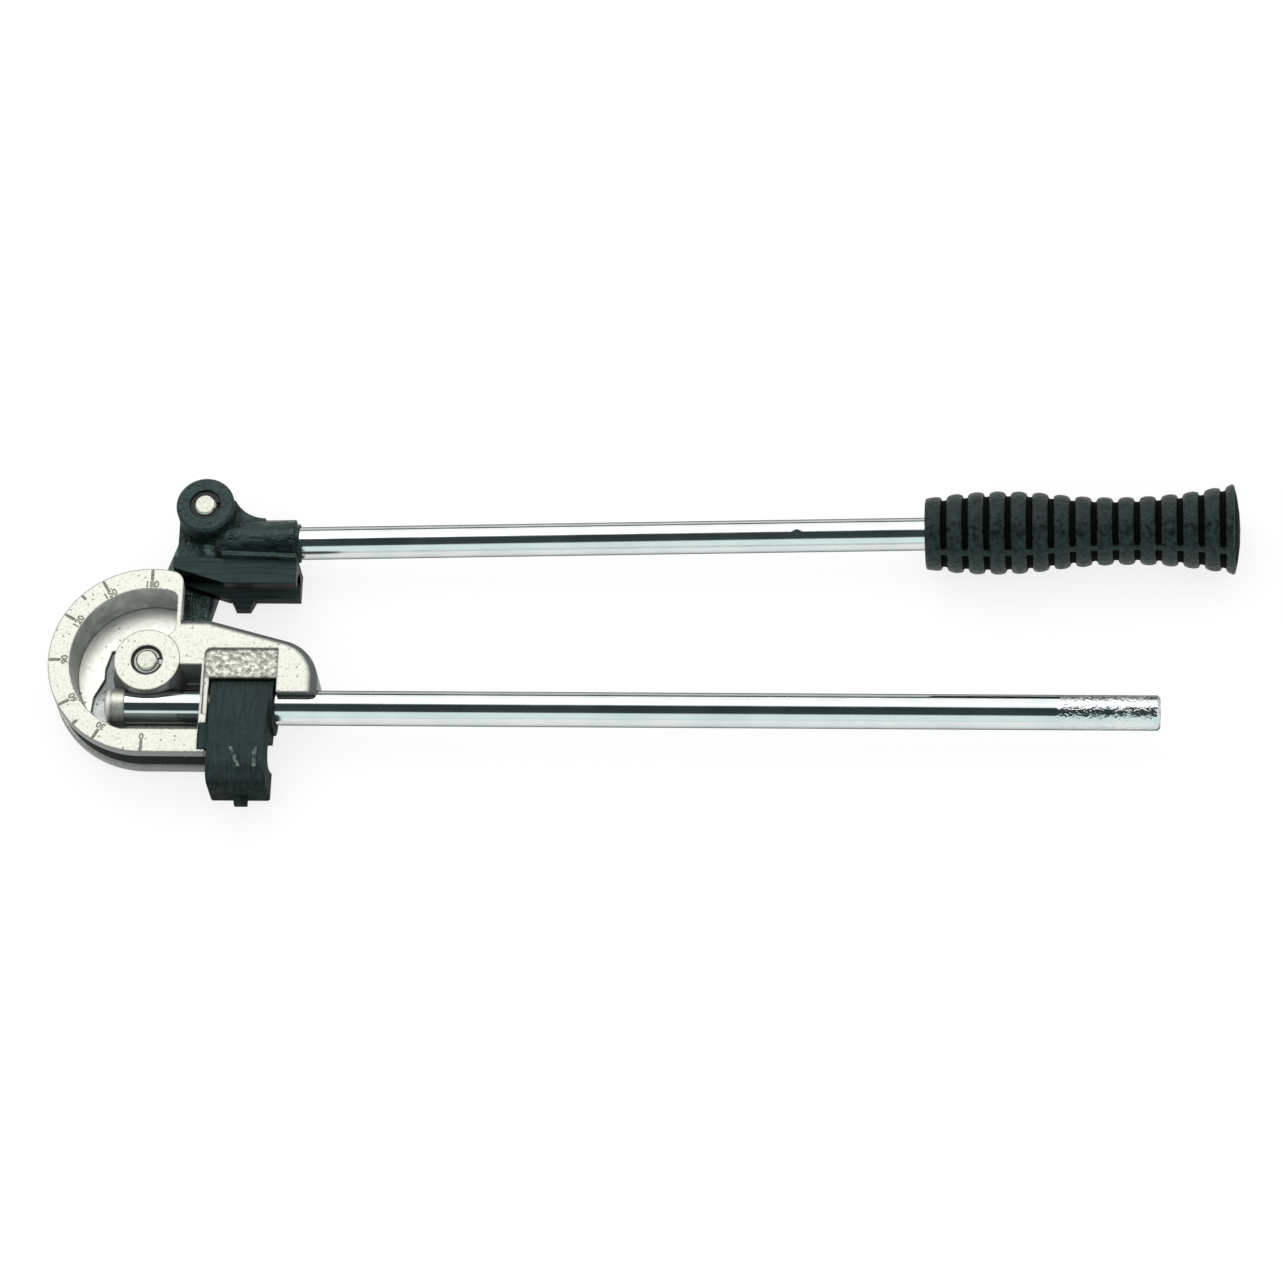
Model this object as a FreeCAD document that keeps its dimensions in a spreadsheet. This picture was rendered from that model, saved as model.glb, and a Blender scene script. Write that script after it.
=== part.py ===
import FreeCAD, Part
import math
import os
import Sketcher
from FreeCAD import Placement, Rotation, Vector
from types import SimpleNamespace

# Two-handed pipe bender for 12 mm tube, lying on its back with the lever at the end of a bend.
# The origin is on the pivot axis, in the plane that the tool lies on. +X runs along the
# handles, +Y points from the fixed handle to the lever and +Z out of the former's face.
# Lengths are in millimetres and angles in degrees.

SIZES = {
    # Workpiece tube, and the groove that it is bent in
    "tube_diameter": 12,
    "groove_play": 0.1,
    "groove_draft": 5,
    "groove_sweep": 208,
    "bend_radius": 42,
    "flange_rise": 3.4,
    "rim_width": 23,
    # Outline of the former: end of the scale flange, shoulder, web and nose
    "flange_end": 14.5,
    "flange_corner": 6,
    "end_relief": 3.7,
    "shoulder_height": 21.4,
    "web_slope": 15.6,
    "web_round": 5,
    "nose_reach": 78,
    "nose_drop": 8,
    "nose_radius": 20,
    "saddle_edge": 15.5,
    "window_start": 29,
    "window_length": 31,
    "window_top": 8,
    "window_play": 0.5,
    # Recess in the face of the former, with its draft, and the lower floor round the hub
    "recess_radius": 35.5,
    "recess_depth": 17,
    "recess_draft": 6,
    "recess_end": 12.3,
    "recess_corner": 4,
    "recess_heel": 5.9,
    "recess_flat": 1.5,
    "recess_wall": 3.6,
    "recess_top": 2,
    "hub_radius": 15,
    "heel_angle": 55,
    "sump_depth": 1.5,
    "sump_margin": 3,
    "sump_hub_margin": 2.2,
    "crescent_side": 21.4,
    "crescent_lean": 2.6,
    "crescent_top": 11.5,
    "crescent_tip": 26,
    "panel_depth": 0.9,
    "panel_height": 14,
    "panel_start": 26.6,
    "panel_round": 3,
    "rear_pocket_depth": 7,
    "rear_pocket_start": 21,
    "rear_rib": 4.5,
    # Fixed handle with its seat in the former
    "handle_diameter": 16,
    "handle_wall": 1.5,
    "handle_offset": 18.5,
    "handle_inset": 14.6,
    "handle_reach": 460,
    "handle_chamfer": 1.2,
    "stop_length": 4.6,
    "stop_round": 4,
    "stop_step": 0.6,
    "cradle_wall": 2.2,
    "cradle_drop": 3,
    "handle_pin_diameter": 4,
    "handle_pin_place": 5,
    "handle_pin_entry": 1.2,
    "plug_length": 12,
    "plug_recess": 1.2,
    # Hook that holds the tube at the zero mark
    "hook_play": 0.06,
    "hook_gap": 1.2,
    "hook_wall": 4.8,
    "hook_step": 1.5,
    "hook_front": 14.6,
    "hook_shoulder": 10,
    "hook_bottom": 41,
    "hook_round": 9,
    "hook_back": 9,
    "hook_chamfer": 0.8,
    "seat_play": 0.3,
    "lug_width": 3.4,
    "lug_depth": 25,
    "lug_arc": 17.2,
    "lug_thickness": 3,
    "lug_play": 0.4,
    "nub_start": 11,
    "nub_width": 6,
    "nub_height": 3,
    "nub_thickness": 4,
    "hook_rib_width": 1.8,
    "hook_rib_height": 0.8,
    "hook_rib_top": 25.6,
    "hook_rib_low": 38,
    "hook_rib_left": 10.4,
    "hook_rib_lean": 5.2,
    "hook_rib_right": 21.6,
    # Link between the former and the lever, and its two pins
    "eye_across": 22.5,
    "eye_over_tube": 34.4,
    "link_thickness": 7.5,
    "link_hub_radius": 15,
    "link_eye_radius": 12.5,
    "link_chamfer": 1,
    "link_pocket_depth": 2,
    "link_rim": 4,
    "washer_thickness": 0.5,
    "washer_radius": 11,
    "pin_diameter": 10,
    "pin_play": 0.05,
    "pin_head_radius": 9,
    "pin_chamfer": 0.8,
    "hinge_pin_rise": 0.5,
    "bush_wall": 1.5,
    "ring_radius": 6.9,
    "ring_thickness": 1,
    "ring_bite": 0.4,
    "ring_gap": 3,
    "counterbore_radius": 7.2,
    "counterbore_depth": 2,
    # Lever head with its eye, socket and foot
    "lever_incline": 1.2,
    "lever_over_tube": 20.8,
    "boss_radius": 13.4,
    "boss_height": 15,
    "boss_chamfer": 1,
    "head_front": 0.5,
    "socket_radius": 10.9,
    "socket_start": 3.5,
    "socket_end": 40.8,
    "socket_round": 6,
    "collar_length": 1.9,
    "collar_radius": 8.9,
    "foot_over_tube": 9.8,
    "foot_tail_over_tube": 7.5,
    "foot_end": 43.5,
    "foot_thickness": 2.3,
    "foot_front": 15.3,
    "foot_front_start": 9,
    "gusset_reach": 27,
    "gusset_arc": 16,
    "gusset_front": 6,
    # Lever tube, its pin and the grip
    "lever_diameter": 15,
    "lever_wall": 1.5,
    "lever_start": 13,
    "lever_pin_place": 27,
    "lever_pin_diameter": 4,
    "lever_pin_inset": 0.6,
    "lever_pin_entry": 2,
    "grip_start": 329.5,
    "grip_length": 140.5,
    "grip_waist_place": 60,
    "grip_tip_radius": 16.3,
    "grip_joint_radius": 17.2,
    "grip_flare_radius": 20.6,
    "grip_bulge_arc": 195,
    "grip_waist_arc": 250,
    "grip_crown": 2.5,
    "grip_cap": 4,
    "grip_edge": 1,
    "groove_count": 14,
    "first_groove": 8.9,
    "groove_pitch": 9.79,
    "groove_width": 4.8,
    "groove_depth": 1.7,
    "grip_rib_angle": 9,
    "grip_rib_turn": 36,
    # Slide shoe with the pegs that plug into the foot
    "shoe_play": 0.2,
    "shoe_shoulder": 4.4,
    "shoe_ramp": 24,
    "shoe_skirt": 3.4,
    "bump_start": 11.5,
    "bump_length": 11.5,
    "bump_depth": 5,
    "bump_taper": 2.5,
    "peg_diameter": 6,
    "peg_centre": 5,
    "peg_first": 3,
    "peg_height": 9,
    "peg_second": 31,
    "peg_root": 1,
    "tail_height": 2.4,
    "shoe_pin_diameter": 2.5,
    "shoe_pin_place": 5.5,
    "shoe_pin_length": 10,
}


class Size:
    """A length or angle: its number, and the expression on the sheet that gives it."""

    def __init__(self, number, text):
        self.number = number
        self.text = text

    def __add__(self, other):
        other = sized(other)
        return Size(self.number + other.number, "(" + self.text + " + " + other.text + ")")

    def __sub__(self, other):
        other = sized(other)
        return Size(self.number - other.number, "(" + self.text + " - " + other.text + ")")

    def __mul__(self, other):
        other = sized(other)
        return Size(self.number * other.number, "(" + self.text + " * " + other.text + ")")

    def __truediv__(self, other):
        other = sized(other)
        return Size(self.number / other.number, "(" + self.text + " / " + other.text + ")")

    def __neg__(self):
        return Size(-self.number, "(-" + self.text + ")")


def sized(value):
    if isinstance(value, Size):
        return value
    return Size(value, "(" + repr(value) + ")")


def root(value):
    return Size(math.sqrt(value.number), "sqrt(" + value.text + ")")


def cosine(angle):
    return Size(math.cos(math.radians(angle.number)), "cos(" + angle.text + ")")


def sine(angle):
    return Size(math.sin(math.radians(angle.number)), "sin(" + angle.text + ")")


def leg(long_side, short_side):
    """The other leg of a right-angled triangle."""
    return root(long_side * long_side - short_side * short_side)


doc = FreeCAD.newDocument("pipe_bender")
sheet = doc.addObject("Spreadsheet::Sheet", "sizes")
for row, (alias, value) in enumerate(SIZES.items(), start=1):
    sheet.set("A" + str(row), alias)
    sheet.set("B" + str(row), str(value))
    sheet.setAlias("B" + str(row), alias)
doc.recompute()
s = SimpleNamespace()
for alias, value in SIZES.items():
    setattr(s, alias, Size(float(value), "sizes." + alias))
zero = Size(0.0, "0")


def bind(item, path, value):
    """Set one property of an object from the sheet."""
    item.setExpression(path, value.text)


def new_body(name, x=zero, y=zero, z=zero, turn=None):
    """A body for one piece, placed at x, y, z and turned about Z."""
    body = doc.addObject("PartDesign::Body", name)
    body.Label = name
    spin = 0.0 if turn is None else turn.number
    place = Vector(x.number, y.number, z.number)
    body.Placement = Placement(place, Rotation(Vector(0, 0, 1), spin))
    for path, value in (("x", x), ("y", y), ("z", z)):
        bind(body, "Placement.Base." + path, value)
    return body


def new_sketch(body, role="XY_Plane", lift=zero, tilt=None):
    """A sketch on one of the body's own planes, turned about Z and lifted along its normal."""
    plane = None
    for feature in body.Origin.OriginFeatures:
        if feature.Role == role:
            plane = feature
    sketch = body.newObject("Sketcher::SketchObject", body.Label + "_sketch")
    sketch.AttachmentSupport = [(plane, "")]
    sketch.MapMode = "FlatFace"
    if tilt is None:
        bind(sketch, "AttachmentOffset.Base.z", lift)
        return sketch
    sketch.AttachmentOffset = Placement(Vector(), Rotation(Vector(0, 1, 0), tilt.number))
    bind(sketch, "AttachmentOffset.Rotation.Angle", tilt)
    bind(sketch, "AttachmentOffset.Base.x", lift * sine(tilt))
    bind(sketch, "AttachmentOffset.Base.z", lift * cosine(tilt))
    return sketch


def hold(sketch, kind, edge, end, value):
    """Fix one coordinate of a sketch point, measured from the sketch's origin."""
    if value is zero:
        axis = -2 if kind == "DistanceX" else -1
        sketch.addConstraint(Sketcher.Constraint("PointOnObject", edge, end, axis))
        return
    index = sketch.addConstraint(Sketcher.Constraint(kind, -1, 1, edge, end, value.number))
    bind(sketch, "Constraints[" + str(index) + "]", value)


def hold_radius(sketch, edge, value):
    index = sketch.addConstraint(Sketcher.Constraint("Radius", edge, value.number))
    bind(sketch, "Constraints[" + str(index) + "]", value)


def circle(sketch, x, y, radius):
    shape = Part.Circle(Vector(x.number, y.number, 0), Vector(0, 0, 1), radius.number)
    edge = sketch.addGeometry(shape, False)
    hold_radius(sketch, edge, radius)
    hold(sketch, "DistanceX", edge, 3, x)
    hold(sketch, "DistanceY", edge, 3, y)


def arc_between(start, end, radius, turn):
    """Arc of under half a circle: turn is 1 for anticlockwise and -1 for clockwise."""
    middle = (start + end) / 2
    chord = end - start
    rise = math.sqrt(max(radius ** 2 - (chord.Length / 2) ** 2, 0))
    side = Vector(-chord.y, chord.x, 0).normalize()
    centre = middle + side * rise * turn
    first, last = (start, end) if turn > 0 else (end, start)
    first_angle = math.atan2(first.y - centre.y, first.x - centre.x)
    last_angle = math.atan2(last.y - centre.y, last.x - centre.x)
    round_edge = Part.Circle(centre, Vector(0, 0, 1), radius)
    return Part.ArcOfCircle(round_edge, first_angle, last_angle)


def outline(sketch, corners):
    """Closed outline. A corner is (x, y), or (x, y, radius, turn) where an arc leaves it."""
    ends = []
    count = len(corners)
    for index, corner in enumerate(corners):
        following = corners[(index + 1) % count]
        start = Vector(corner[0].number, corner[1].number, 0)
        end = Vector(following[0].number, following[1].number, 0)
        if len(corner) == 2:
            edge = sketch.addGeometry(Part.LineSegment(start, end), False)
            ends.append((edge, 1, 2))
        else:
            radius, turn = corner[2], corner[3]
            edge = sketch.addGeometry(arc_between(start, end, radius.number, turn), False)
            ends.append((edge, 1, 2) if turn > 0 else (edge, 2, 1))
    for index, (edge, first, last) in enumerate(ends):
        before = ends[index - 1]
        sketch.addConstraint(Sketcher.Constraint("Coincident", before[0], before[2], edge, first))
    for index, (edge, first, last) in enumerate(ends):
        hold(sketch, "DistanceX", edge, first, corners[index][0])
        hold(sketch, "DistanceY", edge, first, corners[index][1])
        if len(corners[index]) > 2:
            hold_radius(sketch, edge, corners[index][2])


def box_outline(sketch, left, low, right, high):
    outline(sketch, [(left, low), (right, low), (right, high), (left, high)])


def stepped_round(start, radius, amount):
    """Corners of a turned piece's rounded end, taken in two straight steps."""
    middle = amount * (sized(1.0) - cosine(sized(45.0)))
    return [(start + amount, radius), (start + middle, radius - middle), (start, radius - amount)]


def pad(body, sketch, length, backwards=False):
    feature = body.newObject("PartDesign::Pad", body.Label + "_pad")
    feature.Profile = sketch
    feature.Reversed = backwards
    bind(feature, "Length", length)
    return feature


def pocket(body, sketch, length, backwards=False, draft=None):
    """Cut against the sketch's normal, or along it when backwards is set."""
    feature = body.newObject("PartDesign::Pocket", body.Label + "_pocket")
    feature.Profile = sketch
    feature.Reversed = backwards
    bind(feature, "Length", length)
    if draft is not None:
        bind(feature, "TaperAngle", -draft)
    return feature


def turn_about(body, sketch, axis="V_Axis", angle=None, cut=False, backwards=False):
    kind = "PartDesign::Groove" if cut else "PartDesign::Revolution"
    feature = body.newObject(kind, body.Label + "_turned")
    feature.Profile = sketch
    feature.ReferenceAxis = (sketch, [axis])
    feature.Reversed = backwards
    if angle is None:
        feature.Angle = 360.0
    else:
        bind(feature, "Angle", angle)
    return feature


def soften(body, kind, amount, chosen):
    """Fillet or chamfer the edges of the body's tip that chosen picks."""
    doc.recompute()
    base = body.Tip
    names = []
    for index, edge in enumerate(base.Shape.Edges, start=1):
        if chosen(edge):
            names.append("Edge" + str(index))
    feature = body.newObject("PartDesign::" + kind, body.Label + "_" + kind.lower())
    feature.Base = (base, names)
    bind(feature, "Radius" if kind == "Fillet" else "Size", amount)
    return feature


def on_level(edge, level, axis="z"):
    """True for an edge that lies in the plane where the named coordinate is level."""
    low = getattr(edge.BoundBox, axis.upper() + "Min")
    high = getattr(edge.BoundBox, axis.upper() + "Max")
    return abs(low - level.number) < 0.001 and abs(high - level.number) < 0.001


def turned_piece(name, corners, x, y, z):
    """A lathe-turned piece from its half section: (radius, height) corners about Z."""
    body = new_body(name, x, y, z)
    sketch = new_sketch(body, "XZ_Plane")
    outline(sketch, corners)
    turn_about(body, sketch)
    return body


def tube_piece(name, outer, inner, start, end, x, y, z, turn=None):
    """A round tube along the piece's own X axis."""
    body = new_body(name, x, y, z, turn)
    sketch = new_sketch(body, "YZ_Plane", start)
    circle(sketch, zero, zero, outer)
    circle(sketch, zero, zero, inner)
    pad(body, sketch, end - start)
    return body


# Sizes that several pieces share
tube_radius = s.tube_diameter / 2
groove_radius = tube_radius + s.groove_play
rim_radius = s.bend_radius + s.flange_rise
half_rim = s.rim_width / 2
mid_height = s.grip_flare_radius
handle_radius = s.handle_diameter / 2
pin_radius = s.pin_diameter / 2
window_end = s.window_start + s.window_length
link_front = -half_rim - s.washer_thickness
link_back = link_front - s.link_thickness
bush_radius = pin_radius + s.pin_play + s.bush_wall
recess_floor = half_rim - s.recess_depth
hook_radius = handle_radius + s.hook_wall
eye_height = s.bend_radius + s.eye_over_tube
lever_offset = s.eye_over_tube - s.lever_over_tube
foot_left = s.eye_over_tube - s.foot_over_tube
foot_right = s.eye_over_tube - s.foot_tail_over_tube
shoe_drop = s.eye_over_tube - s.shoe_shoulder
shoe_depth = s.eye_over_tube + s.shoe_skirt


# Former: a die-cast wheel segment with a grooved rim, a deep recess, a hub and a web
former = new_body("bend_former", z=mid_height)

corner_across = s.flange_end - s.flange_corner
corner_up = leg(rim_radius - s.flange_corner, corner_across)
corner_share = rim_radius / (rim_radius - s.flange_corner)
nose_across = s.nose_reach - s.nose_radius
slope_x = nose_across + s.nose_radius * sine(s.web_slope)
slope_y = s.nose_radius * cosine(s.web_slope) - s.nose_drop
slope_run = (s.shoulder_height - slope_y) * cosine(s.web_slope) / sine(s.web_slope)
web = new_sketch(former, lift=-half_rim)
outline(web, [
    (zero, -s.window_top),
    (window_end, -s.window_top),
    (window_end, -s.saddle_edge),
    (s.nose_reach, -s.saddle_edge),
    (s.nose_reach, -s.nose_drop, s.nose_radius, 1),
    (slope_x, slope_y),
    (slope_x - slope_run, s.shoulder_height),
    (zero, s.shoulder_height),
])
pad(former, web, s.rim_width)
soften(former, "Fillet", s.web_round, lambda edge: (
    on_level(edge, half_rim)
    and edge.BoundBox.YMax > -s.window_top.number + 0.01
    and edge.BoundBox.XMax > 0.01
))
rim = new_sketch(former, lift=-half_rim)
outline(rim, [
    (zero, -rim_radius),
    (s.window_start, -rim_radius),
    (s.window_start, -s.window_top),
    (s.flange_end, -s.window_top),
    (s.flange_end, corner_up, s.flange_corner, 1),
    (corner_across * corner_share, corner_up * corner_share, rim_radius, 1),
    (-rim_radius, zero, rim_radius, 1),
])
pad(former, rim, s.rim_width)

# Deep recess round the hub, open to the face, with drafted walls
recess_left = s.recess_end - s.recess_corner
recess_up = leg(s.recess_radius - s.recess_corner, recess_left)
recess_share = s.recess_radius / (s.recess_radius - s.recess_corner)
recess_right = s.window_start - s.recess_wall
recess_edge = s.recess_radius - s.recess_flat
heel_x = s.hub_radius * cosine(s.heel_angle)
heel_y = s.hub_radius * sine(s.heel_angle)
recess = new_sketch(former, lift=half_rim)
outline(recess, [
    (s.recess_end, recess_up, s.recess_corner, 1),
    (recess_left * recess_share, recess_up * recess_share, s.recess_radius, 1),
    (-s.recess_radius, zero, s.recess_radius, 1),
    (-leg(s.recess_radius, recess_edge), -recess_edge),
    (recess_right, -recess_edge),
    (recess_right, -s.recess_top),
    (leg(s.hub_radius, s.recess_top), -s.recess_top, s.hub_radius, -1),
    (-s.hub_radius, zero, s.hub_radius, -1),
    (heel_x, heel_y, s.recess_heel, 1),
    (s.recess_end, heel_y + s.recess_heel),
])
pocket(former, recess, s.recess_depth, draft=s.recess_draft)

# Lower floor round the hub and the handle: what is left of the upper one is a crescent
sump_radius = s.recess_radius - s.sump_margin
sump_hub = s.hub_radius + s.sump_hub_margin
sump_low = recess_edge - s.sump_margin
sump_top = s.recess_top + s.sump_margin
sump = new_sketch(former, lift=recess_floor)
outline(sump, [
    (-leg(sump_hub, s.crescent_top), s.crescent_top),
    (s.crescent_lean - s.crescent_side, s.crescent_top),
    (-s.crescent_side, s.crescent_lean),
    (-s.crescent_side, -s.crescent_lean),
    (-s.crescent_tip, -s.crescent_top),
    (-leg(sump_radius, s.handle_offset), -s.handle_offset, sump_radius, 1),
    (-leg(sump_radius, sump_low), -sump_low),
    (recess_right - s.sump_margin, -sump_low),
    (recess_right - s.sump_margin, -sump_top),
    (leg(sump_hub, sump_top), -sump_top, sump_hub, -1),
    (-sump_hub, zero, sump_hub, -1),
])
pocket(former, sump, s.sump_depth)
sump_floor = recess_floor - s.sump_depth

# Cradle under the handle tube, and the rounded stop that its end meets
cradle_half = handle_radius + s.cradle_wall
cradle = new_sketch(former, lift=sump_floor - s.sump_depth)
box_outline(cradle, -s.handle_inset - s.cradle_wall, -s.handle_offset - cradle_half,
            recess_right, cradle_half - s.handle_offset)
pad(former, cradle, s.sump_depth - sump_floor - s.cradle_drop)
stop_radius = handle_radius + s.stop_step
stop_end = -s.handle_inset - s.stop_length
stop = new_sketch(former, "XZ_Plane", s.handle_offset)
outline(stop, [
    (stop_end, zero),
    (s.handle_pin_place - s.handle_inset, zero),
    (s.handle_pin_place - s.handle_inset, stop_radius),
] + stepped_round(stop_end, stop_radius, s.stop_round))
turn_about(former, stop, "H_Axis")

# Seat of the handle tube: stop, cradle, wall and saddle in one line
seat = new_sketch(former, "YZ_Plane", -s.handle_inset)
circle(seat, -s.handle_offset, zero, handle_radius)
pocket(former, seat, s.nose_reach + s.handle_inset + half_rim, backwards=True)

# Room for the hook's sleeve to turn in the window
clearance = new_sketch(former, "YZ_Plane", s.window_start)
circle(clearance, -s.handle_offset, zero, hook_radius + s.window_play)
pocket(former, clearance, s.window_length, backwards=True)

# Groove round the rim with drafted flanks, and on along the straight lower edge
groove_half = groove_radius * cosine(s.groove_draft)
groove_edge = groove_radius * sine(s.groove_draft) - s.bend_radius
groove_mouth = -rim_radius - groove_radius
mouth_half = groove_half + (groove_edge - groove_mouth) * sine(s.groove_draft) / cosine(s.groove_draft)
groove_profile = [
    (groove_mouth, -mouth_half),
    (groove_edge, -groove_half, groove_radius, 1),
    (groove_edge, groove_half),
    (groove_mouth, mouth_half),
]
bent_groove = new_sketch(former, "YZ_Plane")
outline(bent_groove, groove_profile)
turn_about(former, bent_groove, angle=s.groove_sweep, cut=True, backwards=True)
straight_groove = new_sketch(former, "YZ_Plane")
outline(straight_groove, groove_profile)
pocket(former, straight_groove, s.window_start, backwards=True)

# The end of the rim falls away behind the scale flange
relief = new_sketch(former, "XZ_Plane", -s.shoulder_height)
outline(relief, [
    (s.flange_end, groove_radius),
    (s.flange_end - s.end_relief, -half_rim),
    (s.flange_end + s.end_relief, -half_rim),
    (s.flange_end + s.end_relief, groove_radius),
])
pocket(former, relief, rim_radius)

# Bore of the pivot pin and the counterbore for its retaining ring
bore = new_sketch(former, lift=half_rim)
circle(bore, zero, zero, pin_radius)
pocket(former, bore, s.rim_width)
counterbore = new_sketch(former, lift=half_rim)
circle(counterbore, zero, zero, s.counterbore_radius)
pocket(former, counterbore, s.counterbore_depth)

# Sunk panel on the web, open to the window below it
panel_top = s.panel_height - s.window_top
panel = new_sketch(former, lift=half_rim)
outline(panel, [
    (s.panel_start, -s.window_top - s.handle_offset),
    (window_end, -s.window_top - s.handle_offset),
    (window_end, panel_top),
    (s.panel_start + s.panel_round, panel_top, s.panel_round, 1),
    (s.panel_start, panel_top - s.panel_round),
])
pocket(former, panel, s.panel_depth)

# Notch in the scale flange for the hook's lug, curved about the handle
notch_arc = s.lug_arc - s.lug_play
notch_low = half_rim - s.lug_thickness - s.lug_play
notch = new_sketch(former, "YZ_Plane", s.window_start - s.lug_width)
notch_bottom = -s.handle_offset - s.lug_depth - s.lug_play
outline(notch, [
    (notch_bottom, notch_low),
    (notch_bottom, half_rim + s.lug_play),
    (-s.handle_offset - leg(notch_arc, half_rim + s.lug_play), half_rim + s.lug_play, notch_arc, 1),
    (-s.handle_offset - leg(notch_arc, notch_low), notch_low),
])
pocket(former, notch, s.lug_width + s.lug_play, backwards=True)

# Pocket cored out of the back of the web
rear_low = hook_radius + s.window_play + s.rear_rib - s.handle_offset
rear_high = s.shoulder_height - s.rear_rib
rear_end = slope_x - s.rear_rib
rear_end_up = slope_y - s.rear_rib / cosine(s.web_slope)
rear = new_sketch(former, lift=-half_rim)
outline(rear, [
    (s.rear_pocket_start, rear_low),
    (rear_end, rear_low),
    (rear_end, rear_end_up),
    (slope_x - slope_run, rear_high),
    (s.rear_pocket_start, rear_high),
])
pocket(former, rear, s.rear_pocket_depth, backwards=True)

# Hole from the back for the pin that holds the handle tube
pin_hole_radius = s.handle_pin_diameter / 2
pin_hole = new_sketch(former, lift=-half_rim)
circle(pin_hole, s.handle_pin_place, -s.handle_offset, pin_hole_radius)
pocket(former, pin_hole, half_rim - handle_radius / 2, backwards=True)


# Fixed handle: a bare steel tube, pinned in the former and plugged at its free end
fixed_handle = tube_piece("fixed_handle", handle_radius, handle_radius - s.handle_wall,
                          -s.handle_inset, s.handle_reach, zero, -s.handle_offset, mid_height)
soften(fixed_handle, "Chamfer", s.handle_chamfer, lambda edge: (
    on_level(edge, s.handle_reach, "x")
    and edge.Length > handle_radius.number * 2 * math.pi - 0.001
))
tube_hole = new_sketch(fixed_handle, lift=-handle_radius - s.handle_wall)
circle(tube_hole, s.handle_pin_place, zero, pin_hole_radius)
pocket(fixed_handle, tube_hole, handle_radius, backwards=True)

handle_pin_top = -handle_radius + s.handle_wall + s.handle_pin_entry
turned_piece("handle_pin", [
    (zero, -half_rim),
    (pin_hole_radius, -half_rim),
    (pin_hole_radius, handle_pin_top),
    (zero, handle_pin_top),
], s.handle_pin_place, -s.handle_offset, mid_height)

handle_plug = new_body("handle_plug", y=-s.handle_offset, z=mid_height)
plug = new_sketch(handle_plug, "YZ_Plane", s.handle_reach - s.plug_recess - s.plug_length)
circle(plug, zero, zero, handle_radius - s.handle_wall)
pad(handle_plug, plug, s.plug_length)


# Pins, washers, bushes and retaining rings of the two pivots
def pivot_pin(name, x, y, top):
    """A headed pin, grooved for a retaining ring below its front end."""
    head_top = link_back - s.pin_play
    ring_floor = top - s.counterbore_depth
    waist = pin_radius - s.ring_bite
    tip = pin_radius - s.pin_chamfer
    rise = top + s.hinge_pin_rise
    turned_piece(name, [
        (zero, -mid_height),
        (s.pin_head_radius, -mid_height),
        (s.pin_head_radius, head_top),
        (pin_radius, head_top),
        (pin_radius, ring_floor),
        (waist, ring_floor),
        (waist, ring_floor + s.ring_thickness),
        (pin_radius, ring_floor + s.ring_thickness),
        (pin_radius, rise - s.pin_chamfer),
        (tip, rise),
        (zero, rise),
    ], x, y, mid_height)


def ring_piece(name, inner, outer, low, high, x, y):
    """A plain washer or bush."""
    turned_piece(name, [
        (inner, low),
        (outer, low),
        (outer, high),
        (inner, high),
    ], x, y, mid_height)


def retaining_ring(name, x, y, top):
    """A snap ring with a gap, seated in the pin's groove."""
    body = new_body(name, x, y, mid_height)
    floor = top - s.counterbore_depth
    sketch = new_sketch(body, lift=floor)
    circle(sketch, zero, zero, s.ring_radius)
    circle(sketch, zero, zero, pin_radius - s.ring_bite)
    pad(body, sketch, s.ring_thickness)
    gap = new_sketch(body, lift=floor + s.ring_thickness)
    box_outline(gap, zero, -s.ring_gap / 2, s.ring_radius * 2, s.ring_gap / 2)
    pocket(body, gap, s.ring_thickness)


running_radius = pin_radius + s.pin_play
pivot_pin("pivot_pin", zero, zero, half_rim)
pivot_pin("hinge_pin", s.eye_across, eye_height, s.boss_height)
retaining_ring("pivot_retaining_ring", zero, zero, half_rim)
retaining_ring("hinge_retaining_ring", s.eye_across, eye_height, s.boss_height)
ring_piece("pivot_washer", running_radius, s.washer_radius, link_front, -half_rim, zero, zero)
ring_piece("hinge_washer", running_radius, s.washer_radius, link_front, -half_rim,
           s.eye_across, eye_height)
ring_piece("link_bush", running_radius, bush_radius, link_back, link_front, zero, zero)
ring_piece("hinge_bush", running_radius, bush_radius, -half_rim,
           s.boss_height - s.counterbore_depth, s.eye_across, eye_height)


# Link arm behind the former, from the pivot to the lever's eye
link_length = root(s.eye_across * s.eye_across + eye_height * eye_height)
link_turn = Size(math.degrees(math.atan2(eye_height.number, s.eye_across.number)), "0")
link = new_body("link_arm", z=mid_height, turn=link_turn)
taper = (s.link_hub_radius - s.link_eye_radius) / link_length
spread = root(sized(1.0) - taper * taper)
link_sketch = new_sketch(link, lift=link_back)
outline(link_sketch, [
    (s.link_hub_radius * taper, -s.link_hub_radius * spread),
    (link_length + s.link_eye_radius * taper, -s.link_eye_radius * spread, s.link_eye_radius, 1),
    (link_length + s.link_eye_radius, zero, s.link_eye_radius, 1),
    (link_length + s.link_eye_radius * taper, s.link_eye_radius * spread),
    (s.link_hub_radius * taper, s.link_hub_radius * spread, s.link_hub_radius, 1),
    (-s.link_hub_radius, zero, s.link_hub_radius, 1),
])
circle(link_sketch, zero, zero, bush_radius)
circle(link_sketch, link_length, zero, pin_radius)
pad(link, link_sketch, s.link_thickness)
soften(link, "Chamfer", s.link_chamfer, lambda edge: (
    (on_level(edge, link_back) or on_level(edge, link_front))
    and edge.BoundBox.YLength > 0.01
    and max(abs(edge.BoundBox.YMin), abs(edge.BoundBox.YMax)) > bush_radius.number + 1
))
link_rear = new_sketch(link, lift=link_back)
rear_half = s.link_eye_radius - s.link_rim
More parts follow.
